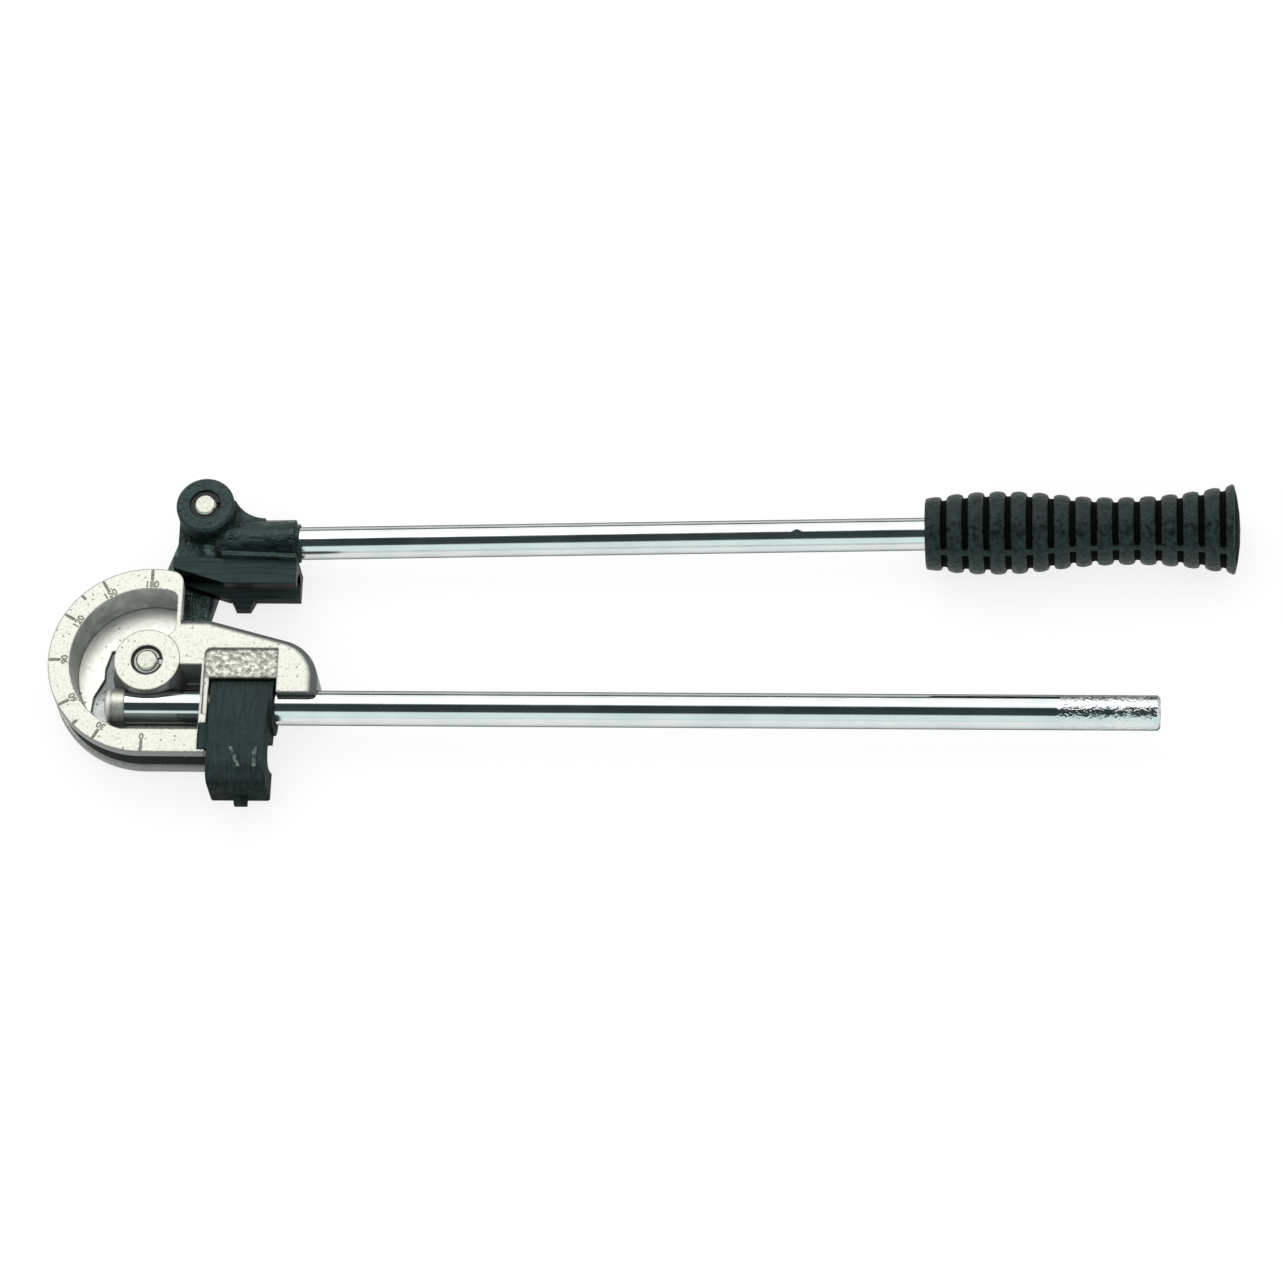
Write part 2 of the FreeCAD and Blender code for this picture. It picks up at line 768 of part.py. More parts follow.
box_outline(link_rear, s.link_hub_radius + s.link_rim, -rear_half,
            link_length - s.link_eye_radius - s.link_rim, rear_half)
pocket(link, link_rear, s.link_pocket_depth, backwards=True)


# Lever head: a cast eye, a socket for the lever tube and a foot for the slide shoe
lever_radius = s.lever_diameter / 2
socket_low = lever_offset - s.socket_radius
foot_slope = (foot_right - foot_left) / (s.foot_end + s.boss_radius)


def foot_line(across):
    """Height of the foot's lower face, below the eye's centre."""
    return -foot_left - foot_slope * (across + s.boss_radius)


head = new_body("lever_head", s.eye_across, eye_height, mid_height)
head_web = new_sketch(head, lift=-half_rim)
outline(head_web, [
    (-s.boss_radius, zero),
    (-s.boss_radius, -foot_left),
    (s.socket_end, foot_line(s.socket_end)),
    (s.socket_end, -lever_offset),
    (s.boss_radius, -lever_offset),
    (s.boss_radius, zero),
])
pad(head, head_web, half_rim + s.head_front)
foot = new_sketch(head, lift=-half_rim)
outline(foot, [
    (s.foot_front_start, foot_line(s.foot_front_start)),
    (s.foot_end, -foot_right),
    (s.foot_end, s.foot_thickness - foot_right),
    (s.foot_front_start, foot_line(s.foot_front_start) + s.foot_thickness),
])
pad(head, foot, half_rim + s.foot_front)
boss = new_sketch(head, lift=-half_rim)
circle(boss, zero, zero, s.boss_radius)
pad(head, boss, half_rim + s.boss_height)
soften(head, "Chamfer", s.boss_chamfer, lambda edge: on_level(edge, s.boss_height))
collar_end = s.socket_end + s.collar_length
socket = new_sketch(head, "XZ_Plane", lever_offset, s.lever_incline)
outline(socket, [
    (s.socket_start, zero),
    (collar_end, zero),
    (collar_end, s.collar_radius),
    (s.socket_end, s.collar_radius),
    (s.socket_end, s.socket_radius),
] + stepped_round(s.socket_start, s.socket_radius, s.socket_round))
turn_about(head, socket, "H_Axis")
gusset_up = s.gusset_arc - socket_low
gusset_share = sized(1.0) - s.gusset_arc / root(s.gusset_reach * s.gusset_reach + gusset_up * gusset_up)
gusset = new_sketch(head, lift=-half_rim)
outline(gusset, [
    (zero, -lever_offset),
    (s.gusset_reach, -lever_offset),
    (s.gusset_reach, -socket_low, s.gusset_arc, -1),
    (s.gusset_reach * gusset_share, gusset_up * gusset_share),
    (zero, zero),
])
pad(head, gusset, half_rim + s.gusset_front)

# Bores in the head: lever tube, eye bush, ring, two pegs and two cross pins
tube_bore = new_sketch(head, "YZ_Plane", s.lever_start, s.lever_incline)
circle(tube_bore, -lever_offset, zero, lever_radius)
pocket(head, tube_bore, s.socket_end, backwards=True)
eye_bore = new_sketch(head, lift=s.boss_height)
circle(eye_bore, zero, zero, bush_radius)
pocket(head, eye_bore, s.boss_height + half_rim)
ring_room = new_sketch(head, lift=s.boss_height)
circle(ring_room, zero, zero, s.counterbore_radius)
pocket(head, ring_room, s.counterbore_depth)
peg_radius = s.peg_diameter / 2
peg_floor = -foot_right - s.peg_root
peg_tops = ((s.peg_first, s.peg_height - foot_left), (s.peg_second, s.tail_height - foot_right))
for across, top in peg_tops:
    peg_hole = new_sketch(head, "XZ_Plane", -peg_floor)
    circle(peg_hole, across, -s.peg_centre, peg_radius)
    pocket(head, peg_hole, top - peg_floor)
shoe_pin_height = s.shoe_pin_place - foot_left
shoe_pin_radius = s.shoe_pin_diameter / 2
shoe_pin_hole = new_sketch(head, lift=-half_rim)
circle(shoe_pin_hole, s.peg_first, shoe_pin_height, shoe_pin_radius)
pocket(head, shoe_pin_hole, s.shoe_pin_length, backwards=True)
lever_pin_radius = s.lever_pin_diameter / 2
lever_pin_end = lever_radius + s.lever_pin_entry
lever_pin_hole = new_sketch(head, "XZ_Plane", lever_offset - s.socket_radius, s.lever_incline)
circle(lever_pin_hole, s.lever_pin_place, zero, lever_pin_radius)
pocket(head, lever_pin_hole, s.socket_radius + lever_pin_end, backwards=True)


# Lever tube with its cross pin
lever_x = s.eye_across + lever_offset * sine(s.lever_incline)
lever_y = eye_height - lever_offset * cosine(s.lever_incline)
lever_end = s.grip_start + s.grip_length - s.grip_cap
lever_tube = tube_piece("lever_tube", lever_radius, lever_radius - s.lever_wall,
                        s.lever_start, lever_end, lever_x, lever_y, mid_height, s.lever_incline)
through_hole = new_sketch(lever_tube, "XZ_Plane", -s.lever_diameter)
circle(through_hole, s.lever_pin_place, zero, lever_pin_radius)
pocket(lever_tube, through_hole, s.lever_diameter * 2, backwards=True)
cross_pin = new_body("lever_tube_pin", lever_x, lever_y, mid_height, s.lever_incline)
cross_pin_start = s.socket_radius - s.lever_pin_inset
cross_pin_sketch = new_sketch(cross_pin, "XZ_Plane", -cross_pin_start)
circle(cross_pin_sketch, s.lever_pin_place, zero, lever_pin_radius)
pad(cross_pin, cross_pin_sketch, cross_pin_start + lever_pin_end)


# Grip: a turned rubber sleeve whose ring grooves stop at two ribs along its length
def value(alias):
    return float(sheet.get(alias))


def swell(start, end, radius, bulge, place):
    """Radius at a place on an arc between two (along, radius) points, outward when bulge is 1."""
    run = end[0] - start[0]
    rise = end[1] - start[1]
    chord = math.hypot(run, rise)
    depth = math.sqrt(radius ** 2 - chord ** 2 / 4)
    centre_x = (start[0] + end[0]) / 2 + bulge * depth * rise / chord
    centre_r = (start[1] + end[1]) / 2 - bulge * depth * run / chord
    return centre_r + bulge * math.sqrt(radius ** 2 - (place - centre_x) ** 2)


grip_start = value("grip_start")
grip_end = grip_start + value("grip_length")
grip_edge = value("grip_edge")
grip_crown = value("grip_crown")
flare = value("grip_flare_radius")
tip = value("grip_tip_radius")
tip_corner = (grip_start + grip_edge, tip)
flare_corner = (grip_end - grip_edge, flare)
joint = (grip_start + value("grip_waist_place"), value("grip_joint_radius"))
bore_radius = value("lever_diameter") / 2
bore_end = grip_end - value("grip_cap")
crown_rim = flare - grip_edge


def grip_radius(place):
    """Outer radius of the sleeve: it swells behind the tip, then flares out of a waist."""
    if place < joint[0]:
        return swell(tip_corner, joint, value("grip_bulge_arc"), 1, place)
    return swell(joint, flare_corner, value("grip_waist_arc"), -1, place)


groove_places = []
for index in range(int(value("groove_count"))):
    groove_places.append(grip_start + value("first_groove") + index * value("groove_pitch"))
sleeve_points = [
    Vector(bore_end, 0, 0),
    Vector(bore_end, bore_radius, 0),
    Vector(grip_start, bore_radius, 0),
    Vector(grip_start, tip - grip_edge, 0),
    Vector(tip_corner[0], tip_corner[1], 0),
]
for place in groove_places[::2]:
    sleeve_points.append(Vector(place, grip_radius(place), 0))
sleeve_points += [
    Vector(flare_corner[0], flare_corner[1], 0),
    Vector(grip_end, crown_rim, 0),
    Vector(grip_end + grip_crown * 3 / 4, crown_rim / 2, 0),
    Vector(grip_end + grip_crown, 0, 0),
]
along = Vector(1, 0, 0)
section = Part.Face(Part.makePolygon(sleeve_points + sleeve_points[:1]))
sleeve = section.revolve(Vector(), along, 360)

cutters = []
mouth = value("groove_width")
groove_depth = value("groove_depth")
rib_angle = value("grip_rib_angle")
for place in groove_places:
    surface = grip_radius(place)
    floor = Vector(place, surface - groove_depth, 0)
    profile = Part.makePolygon([
        floor,
        Vector(place + mouth, surface + groove_depth, 0),
        Vector(place - mouth, surface + groove_depth, 0),
        floor,
    ])
    for half_turn in (0, 180):
        face = Part.Face(profile)
        face.rotate(Vector(), along, half_turn + rib_angle / 2 + 180 - value("grip_rib_turn"))
        cutters.append(face.revolve(Vector(), along, 180 - rib_angle))
grip = doc.addObject("Part::Feature", "lever_grip")
grip.Label = "lever_grip"
grip.Shape = sleeve.cut(cutters)
grip.Placement = Placement(Vector(lever_x.number, lever_y.number, mid_height.number),
                           Rotation(Vector(0, 0, 1), value("lever_incline")))


# Slide shoe: the channel that slides on the tube, plugged into the foot by two pegs
shoe = new_body("slide_shoe", s.eye_across, eye_height, mid_height)
shoe_outline = new_sketch(shoe, lift=-half_rim)
outline(shoe_outline, [
    (-s.boss_radius, -foot_left),
    (-s.boss_radius, -shoe_drop),
    (s.shoe_ramp - s.boss_radius, -shoe_depth),
    (s.foot_end, -shoe_depth),
    (s.foot_end, -foot_right),
])
pad(shoe, shoe_outline, s.rim_width)
channel_radius = tube_radius + s.shoe_play
bump = new_sketch(shoe, lift=-half_rim)
bump_low = -shoe_depth - s.bump_depth
outline(bump, [
    (s.bump_start + s.bump_taper, bump_low),
    (s.bump_start + s.bump_length - s.bump_taper, bump_low),
    (s.bump_start + s.bump_length, -shoe_depth),
    (s.bump_start + s.bump_length, s.bump_depth - shoe_depth),
    (s.bump_start, s.bump_depth - shoe_depth),
    (s.bump_start, -shoe_depth),
])
pad(shoe, bump, half_rim - channel_radius)
for across, top in peg_tops:
    peg = new_sketch(shoe, "XZ_Plane", -peg_floor)
    circle(peg, across, -s.peg_centre, peg_radius)
    pad(shoe, peg, top - peg_floor, backwards=True)
channel_height = -s.eye_over_tube
channel_low = bump_low - s.bump_depth
channel = new_sketch(shoe, "YZ_Plane", -s.boss_radius - s.foot_thickness)
outline(channel, [
    (channel_low, -channel_radius),
    (channel_height, -channel_radius, channel_radius, 1),
    (channel_height + channel_radius, zero, channel_radius, 1),
    (channel_height, channel_radius),
    (channel_low, channel_radius),
])
pocket(shoe, channel, s.boss_radius * 2 + s.foot_end, backwards=True)
peg_cross_hole = new_sketch(shoe, lift=-half_rim)
circle(peg_cross_hole, s.peg_first, shoe_pin_height, shoe_pin_radius)
pocket(shoe, peg_cross_hole, s.shoe_pin_length, backwards=True)
shoe_pin = new_body("shoe_pin", s.eye_across, eye_height, mid_height)
shoe_pin_sketch = new_sketch(shoe_pin, lift=-half_rim)
circle(shoe_pin_sketch, s.peg_first, shoe_pin_height, shoe_pin_radius)
pad(shoe_pin, shoe_pin_sketch, s.shoe_pin_length)


# Tube hook: a sleeve that turns on the fixed handle and a jaw that reaches round the tube
hook_length = s.window_length - s.hook_gap * 2
jaw_length = hook_length - s.hook_step
seat_radius = tube_radius + s.seat_play
seat_middle = s.handle_offset - s.bend_radius
seat_outer = seat_radius - seat_middle
seat_inner = -seat_radius - seat_middle
hook = new_body("tube_hook", s.window_start + s.hook_gap, -s.handle_offset, mid_height)
jaw = new_sketch(hook, "YZ_Plane")
outline(jaw, [
    (zero, hook_radius),
    (-s.hook_shoulder, s.hook_front),
    (s.hook_round - s.hook_bottom, s.hook_front, s.hook_round, 1),
    (-s.hook_bottom, s.hook_front - s.hook_round),
    (-s.hook_bottom, -half_rim),
    (-leg(seat_outer, half_rim), -half_rim, seat_outer, -1),
    (-seat_outer, zero, seat_radius, -1),
    (seat_middle, seat_radius, seat_radius, -1),
    (-seat_inner, zero, seat_inner, 1),
    (-leg(seat_inner, s.hook_back), -s.hook_back),
    (zero, -hook_radius),
])
pad(hook, jaw, jaw_length)
soften(hook, "Chamfer", s.hook_chamfer, lambda edge: (
    (on_level(edge, zero, "x") or on_level(edge, jaw_length, "x"))
    and (edge.BoundBox.ZMin > s.hook_front.number - s.hook_round.number - 0.01
         or edge.BoundBox.YMax < -s.hook_bottom.number + 0.01)
    and edge.BoundBox.YMax < 0.01 - s.hook_shoulder.number
))
hook_sleeve = new_sketch(hook, "YZ_Plane")
circle(hook_sleeve, zero, zero, hook_radius)
pad(hook, hook_sleeve, hook_length)
lug = new_sketch(hook, "YZ_Plane", s.lug_play - s.hook_gap - s.lug_width)
lug_low = half_rim - s.lug_thickness
outline(lug, [
    (-s.lug_depth, lug_low),
    (-leg(s.lug_arc, lug_low), lug_low, s.lug_arc, -1),
    (-leg(s.lug_arc, half_rim), half_rim),
    (-s.lug_depth, half_rim),
])
pad(hook, lug, s.hook_gap + s.lug_width + s.hook_step)
nub = new_sketch(hook, lift=-half_rim)
box_outline(nub, s.nub_start, -s.hook_bottom - s.nub_height,
            s.nub_start + s.nub_width, s.nub_height - s.hook_bottom)
pad(hook, nub, s.nub_thickness)
rib_front = s.hook_front + s.hook_rib_height
for upper, lower in ((s.hook_rib_left, s.hook_rib_left + s.hook_rib_lean),
                     (s.hook_rib_right, s.hook_rib_right)):
    rib = new_sketch(hook, lift=s.hook_front - s.hook_round)
    outline(rib, [
        (upper, -s.hook_rib_top),
        (lower, -s.hook_rib_low),
        (lower + s.hook_rib_width, -s.hook_rib_low),
        (upper + s.hook_rib_width, -s.hook_rib_top),
    ])
    pad(hook, rib, s.hook_round + s.hook_rib_height)
rib_round = s.hook_round + s.hook_rib_height
rib_trim = new_sketch(hook, "YZ_Plane")
outline(rib_trim, [
    (s.hook_round - s.hook_bottom, rib_front, rib_round, 1),
    (-s.hook_bottom - s.hook_rib_height, s.hook_front - s.hook_round),
    (-s.hook_bottom - s.hook_round, s.hook_front - s.hook_round),
    (-s.hook_bottom - s.hook_round, rib_front + s.hook_round),
    (s.hook_round - s.hook_bottom, rib_front + s.hook_round),
])
pocket(hook, rib_trim, hook_length, backwards=True)
hook_bore = new_sketch(hook, "YZ_Plane")
circle(hook_bore, zero, zero, handle_radius + s.hook_play)
pocket(hook, hook_bore, hook_length, backwards=True)


# Every feature is checked before the pieces are written
doc.recompute()
pieces = [item for item in doc.Objects if item.TypeId in ("PartDesign::Body", "Part::Feature")]
for item in doc.Objects:
    if "Invalid" in item.State or "Error" in item.State:
        raise RuntimeError(item.Name + " did not compute")
for piece in pieces:
    if piece.Shape.isNull() or not piece.Shape.isValid():
        raise RuntimeError(piece.Label + " has no valid shape")
os.makedirs("parts", exist_ok=True)
for piece in pieces:
    piece.Shape.exportStep("parts/" + piece.Label + ".step")
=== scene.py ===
import bmesh
import bpy
import math
from mathutils import Matrix, Vector


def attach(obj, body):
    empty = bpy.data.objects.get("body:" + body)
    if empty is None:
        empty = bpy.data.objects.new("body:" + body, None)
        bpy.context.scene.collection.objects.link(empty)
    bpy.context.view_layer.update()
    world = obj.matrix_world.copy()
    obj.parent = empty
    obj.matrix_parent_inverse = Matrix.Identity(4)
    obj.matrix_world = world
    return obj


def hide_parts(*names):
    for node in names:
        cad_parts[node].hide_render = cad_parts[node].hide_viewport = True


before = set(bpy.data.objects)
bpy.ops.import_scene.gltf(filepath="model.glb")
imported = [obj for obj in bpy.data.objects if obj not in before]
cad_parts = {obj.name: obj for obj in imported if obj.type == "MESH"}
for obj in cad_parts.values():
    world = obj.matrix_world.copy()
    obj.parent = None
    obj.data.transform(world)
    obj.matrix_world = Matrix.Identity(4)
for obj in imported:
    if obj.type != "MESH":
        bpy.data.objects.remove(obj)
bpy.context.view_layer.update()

# Pipe bender for 12 mm tube, lying on its back. +X runs along the handles, +Y from the fixed
# handle to the lever and +Z out of the former's face. Lengths are in metres.


# Viewpoint: a long lens over the fixed handle's side, 66 degrees up, rolled so that the tool
# lies level in a square picture.
camera_turn = math.radians(12.245)
camera_rise = math.radians(65.597)
camera_roll = math.radians(-10.891)
camera_distance = 3.5505
camera_target = Vector((0.22457, 0.01522, 0.0206))
backward = Vector((
    math.sin(camera_turn) * math.cos(camera_rise),
    -math.cos(camera_turn) * math.cos(camera_rise),
    math.sin(camera_rise),
))
level_right = (-backward).cross(Vector((0, 0, 1))).normalized()
level_up = level_right.cross(-backward)
picture_right = level_right * math.cos(camera_roll) + level_up * math.sin(camera_roll)
picture_up = level_up * math.cos(camera_roll) - level_right * math.sin(camera_roll)
camera = bpy.data.objects.new("camera", bpy.data.cameras.new("camera"))
camera.data.sensor_width = 36
camera.data.lens = 219.13
camera.data.clip_start = 0.1
camera.data.clip_end = 20
camera_axes = Matrix((picture_right, picture_up, backward)).transposed().to_4x4()
camera.matrix_world = Matrix.Translation(camera_target + backward * camera_distance) @ camera_axes
bpy.context.scene.collection.objects.link(camera)
bpy.context.scene.camera = camera
bpy.context.scene.view_settings.view_transform = "Standard"


# Studio room: even white light all round. What shiny metal sees has a dark screen overhead on
# the camera's side, and a white wall with a dark foot behind the lever: the bands on the tubes.
def colour(hex_value):
    """Linear colour of an sRGB hex value."""
    parts = [int(hex_value[place:place + 2], 16) / 255 for place in (1, 3, 5)]
    linear = [part / 12.92 if part <= 0.04045 else ((part + 0.055) / 1.055) ** 2.4 for part in parts]
    return (*linear, 1.0)


def add_node(tree, kind, values=None, links=None, stops=None, **options):
    """Add a node: values and links go to its sockets, options to the node itself.

    A socket goes by its name or its number. A Map Range reads between sockets 1 and 2 and gives between
    3 and 4, and a colour Mix has its share at 0 and its two colours at 6 and 7.
    """
    node = tree.nodes.new(kind)
    for name, option in options.items():
        setattr(node, name, option)
    for socket, number in (values or {}).items():
        node.inputs[socket].default_value = number
    for socket, source in (links or {}).items():
        tree.links.new(source, node.inputs[socket])
    for index, (place, shade) in enumerate(stops or []):
        steps = node.color_ramp.elements
        step = steps[index] if index < 2 else steps.new(place)
        step.position = place
        step.color = shade
    return node


def tilt_place(degrees):
    """Where a tilt from straight up toward the camera's side lies on the room's ramp."""
    return degrees / 360 + 0.5


world = bpy.data.worlds.new("studio_room")
bpy.context.scene.world = world
world.use_nodes = True
room = world.node_tree
room.nodes.clear()
room_direction = add_node(room, "ShaderNodeTexCoord")
room_axes = add_node(room, "ShaderNodeSeparateXYZ", links={0: room_direction.outputs["Generated"]})
camera_side = add_node(room, "ShaderNodeMath", {1: -1.0}, {0: room_axes.outputs["Y"]}, operation="MULTIPLY")
room_tilt = add_node(room, "ShaderNodeMath", links={0: camera_side.outputs[0], 1: room_axes.outputs["Z"]},
                     operation="ARCTAN2")
room_share = add_node(room, "ShaderNodeMapRange", {1: -math.pi, 2: math.pi}, {0: room_tilt.outputs[0]})
screens = add_node(room, "ShaderNodeValToRGB", links={0: room_share.outputs[0]}, stops=[
    (tilt_place(-79), colour("#2F3839")),
    (tilt_place(-75), colour("#FFFFFF")),
    (tilt_place(-10), colour("#FFFFFF")),
    (tilt_place(-6), colour("#2A3335")),
    (tilt_place(43), colour("#30393B")),
    (tilt_place(49), colour("#D6E5E2")),
    (tilt_place(80), colour("#D6E4E2")),
    (tilt_place(130), colour("#8A9B99")),
])
room_rays = add_node(room, "ShaderNodeLightPath")
even_light = add_node(room, "ShaderNodeBackground", {"Color": colour("#FFFFFF"), "Strength": 0.85})
banded_light = add_node(room, "ShaderNodeBackground", {"Strength": 1.3}, {"Color": screens.outputs["Color"]})
white_wall = add_node(room, "ShaderNodeBackground", {"Color": colour("#FFFFFF"), "Strength": 1.0})
lit_room = add_node(room, "ShaderNodeMixShader", links={
    0: room_rays.outputs["Is Glossy Ray"], 1: even_light.outputs[0], 2: banded_light.outputs[0]})
seen_room = add_node(room, "ShaderNodeMixShader", links={
    0: room_rays.outputs["Is Camera Ray"], 1: lit_room.outputs[0], 2: white_wall.outputs[0]})
add_node(room, "ShaderNodeOutputWorld", links={"Surface": seen_room.outputs[0]})

soft_box = bpy.data.objects.new("soft_box", bpy.data.lights.new("soft_box", "AREA"))
soft_box.data.size = 1.2
soft_box.data.energy = 6
soft_box_place = Vector((-0.3, 1.0, 1.7))
soft_box.location = soft_box_place
soft_box.rotation_euler = (camera_target - soft_box_place).to_track_quat("-Z", "Y").to_euler()
bpy.context.scene.collection.objects.link(soft_box)


# Table top: a matt white sheet that the tool lies on. To the camera and in reflections it is
# as white as the backdrop, and it still takes the tool's soft shadow.
table_reach = 4.0
table_mesh = bmesh.new()
table_corners = [(-1, -1), (1, -1), (1, 1), (-1, 1)]
table_mesh.faces.new([table_mesh.verts.new((x * table_reach, y * table_reach, 0)) for x, y in table_corners])
table_top = bpy.data.objects.new("table_top", bpy.data.meshes.new("table_top"))
table_mesh.to_mesh(table_top.data)
table_mesh.free()
bpy.context.scene.collection.objects.link(table_top)
white_paper = bpy.data.materials.new("white_paper")
white_paper.use_nodes = True
paper = white_paper.node_tree
paper.nodes.clear()
paper_rays = add_node(paper, "ShaderNodeLightPath")
camera_or_gloss = add_node(paper, "ShaderNodeMath", links={
    0: paper_rays.outputs["Is Camera Ray"], 1: paper_rays.outputs["Is Glossy Ray"]}, operation="MAXIMUM")
seen_directly = add_node(paper, "ShaderNodeMath", links={
    0: camera_or_gloss.outputs[0], 1: paper_rays.outputs["Is Transmission Ray"]}, operation="MAXIMUM")
paper_sheet = add_node(paper, "ShaderNodeBsdfDiffuse", {"Color": colour("#E6E6E6")})
shaded_sheet = add_node(paper, "ShaderNodeBsdfDiffuse", {"Color": colour("#8C8C8C")})
paper_glow = add_node(paper, "ShaderNodeEmission", {"Color": colour("#FFFFFF"), "Strength": 0.79})
white_sheet = add_node(paper, "ShaderNodeAddShader", links={
    0: shaded_sheet.outputs[0], 1: paper_glow.outputs[0]})
paper_mix = add_node(paper, "ShaderNodeMixShader", links={
    0: seen_directly.outputs[0], 1: paper_sheet.outputs[0], 2: white_sheet.outputs[0]})
add_node(paper, "ShaderNodeOutputMaterial", links={"Surface": paper_mix.outputs[0]})
table_top.data.materials.append(white_paper)


# Former: the grooved wheel segment with its recess, hub, web and saddle. Pressure die-cast
# zinc alloy, tumbled bright; its face is ground, and its sunk walls keep their cast skin under painted shade.
def new_finish(name, values):
    """A material with one Principled shader, and the piece's own coordinates in metres."""
    finish = bpy.data.materials.new(name)
    finish.use_nodes = True
    tree = finish.node_tree
    tree.nodes.clear()
    shader = add_node(tree, "ShaderNodeBsdfPrincipled", values)
    add_node(tree, "ShaderNodeOutputMaterial", links={"Surface": shader.outputs[0]})
    place = add_node(tree, "ShaderNodeTexCoord").outputs["Object"]
    return finish, tree, shader, place


def give_finish(finish, *names):
    """Put a material on the slots of pieces that keep their shape."""
    for name in names:
        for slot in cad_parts[name].material_slots:
            slot.link = "OBJECT"
            slot.material = finish


face_height = 0.0321
zinc, zinc_tree, zinc_shader, zinc_place = new_finish("die_cast_zinc", {})
zinc_axes = add_node(zinc_tree, "ShaderNodeSeparateXYZ", links={0: zinc_place})
zinc_geometry = add_node(zinc_tree, "ShaderNodeNewGeometry")
zinc_facing = add_node(zinc_tree, "ShaderNodeSeparateXYZ", links={0: zinc_geometry.outputs["Normal"]})
# Every edge of the casting is rounded to about 1.2 mm.
zinc_edges = add_node(zinc_tree, "ShaderNodeBevel", {"Radius": 0.0012}, samples=8)
zinc_edge_facing = add_node(zinc_tree, "ShaderNodeSeparateXYZ", links={0: zinc_edges.outputs[0]})
# A face that looks up is ground and tumbled; a steep one keeps its cast skin.
zinc_steep = add_node(zinc_tree, "ShaderNodeMapRange", {1: 0.25, 2: 0.6, 3: 1.0, 4: 0.0},
                      {0: zinc_facing.outputs["Z"]})
# The sump's floor is picked out for its painted shade. The web's rounded edge gets a darker painted shade
# still, over the top 5 mm, for its dark reflection.
web_start = 0.0128
web_nose = 0.0605
edge_top = face_height - 0.00006
edge_full = face_height - 0.0007
edge_foot = face_height - 0.0052
web_side = add_node(zinc_tree, "ShaderNodeMath", {1: web_start}, {0: zinc_axes.outputs["X"]},
                    operation="GREATER_THAN")
web_outward = add_node(zinc_tree, "ShaderNodeMath", {1: 0.03}, {0: zinc_facing.outputs["Y"]},
                       operation="GREATER_THAN")
web_at_nose = add_node(zinc_tree, "ShaderNodeMath", {1: web_nose}, {0: zinc_axes.outputs["X"]},
                       operation="GREATER_THAN")
web_outer = add_node(zinc_tree, "ShaderNodeMath", links={
    0: web_outward.outputs[0], 1: web_at_nose.outputs[0]}, operation="MAXIMUM")
web_part = add_node(zinc_tree, "ShaderNodeMath", links={0: web_side.outputs[0], 1: web_outer.outputs[0]},
                    operation="MULTIPLY")
web_drop = add_node(zinc_tree, "ShaderNodeMapRange", {1: edge_full, 2: edge_top, 3: 1.0, 4: 0.0},
                    {0: zinc_axes.outputs["Z"]})
web_low = add_node(zinc_tree, "ShaderNodeMath", {1: edge_foot}, {0: zinc_axes.outputs["Z"]},
                   operation="GREATER_THAN")
web_round = add_node(zinc_tree, "ShaderNodeMath", links={0: web_drop.outputs[0], 1: web_low.outputs[0]},
                     operation="MULTIPLY")
web_edge_shade = add_node(zinc_tree, "ShaderNodeMath", links={0: web_part.outputs[0], 1: web_round.outputs[0]},
                    operation="MULTIPLY")
sump_floor = 0.0136
level_margin = 0.0005
sump_level = add_node(zinc_tree, "ShaderNodeMath", {1: sump_floor, 2: level_margin},
                      {0: zinc_axes.outputs["Z"]}, operation="COMPARE")
# Tumbling leaves marks of about 0.5 mm, drawn at 1.2 mm so that they show in the picture.
zinc_marks = add_node(zinc_tree, "ShaderNodeTexNoise", {"Scale": 1 / 0.0012, "Detail": 3.0},
                      {"Vector": zinc_place})
zinc_bright = add_node(zinc_tree, "ShaderNodeValToRGB", links={0: zinc_marks.outputs[0]}, stops=[
    (0.34, colour("#B4B5A9")), (0.46, colour("#CDCEC3")), (0.64, colour("#D8D9CF"))])
# The cast skin clouds where the metal flowed, over about 6 mm.
zinc_flow = add_node(zinc_tree, "ShaderNodeTexNoise", {"Scale": 1 / 0.006, "Detail": 4.0},
                     {"Vector": zinc_place})
zinc_skin = add_node(zinc_tree, "ShaderNodeValToRGB", links={0: zinc_flow.outputs[0]}, stops=[
    (0.3, colour("#A9AEAC")), (0.5, colour("#C6CBC9")), (0.7, colour("#E2E7E4"))])
# The recess floor gets painted light, paler than the ground face, against the shade in the recess.
recess_floor = 0.0151
recess_level = add_node(zinc_tree, "ShaderNodeMath", {1: recess_floor, 2: level_margin},
                        {0: zinc_axes.outputs["Z"]}, operation="COMPARE")
recess_painted_light = add_node(zinc_tree, "ShaderNodeMath", {1: 0.7}, {0: recess_level.outputs[0]},
                       operation="MULTIPLY")
zinc_recess_lit = add_node(zinc_tree, "ShaderNodeMix", {7: colour("#EBECE3")}, {
    0: recess_painted_light.outputs[0], 6: zinc_bright.outputs[0]}, data_type="RGBA")
# Painted shade greys the rounded edges, and the web's outer one most.
edge_painted_shade = add_node(zinc_tree, "ShaderNodeMapRange", {1: 0.86, 2: 0.97, 3: 0.55, 4: 0.0},
                      {0: zinc_edge_facing.outputs["Z"]})
zinc_edges_shaded = add_node(zinc_tree, "ShaderNodeMix", {7: colour("#74787A")}, {
    0: edge_painted_shade.outputs[0], 6: zinc_recess_lit.outputs[2]}, data_type="RGBA")
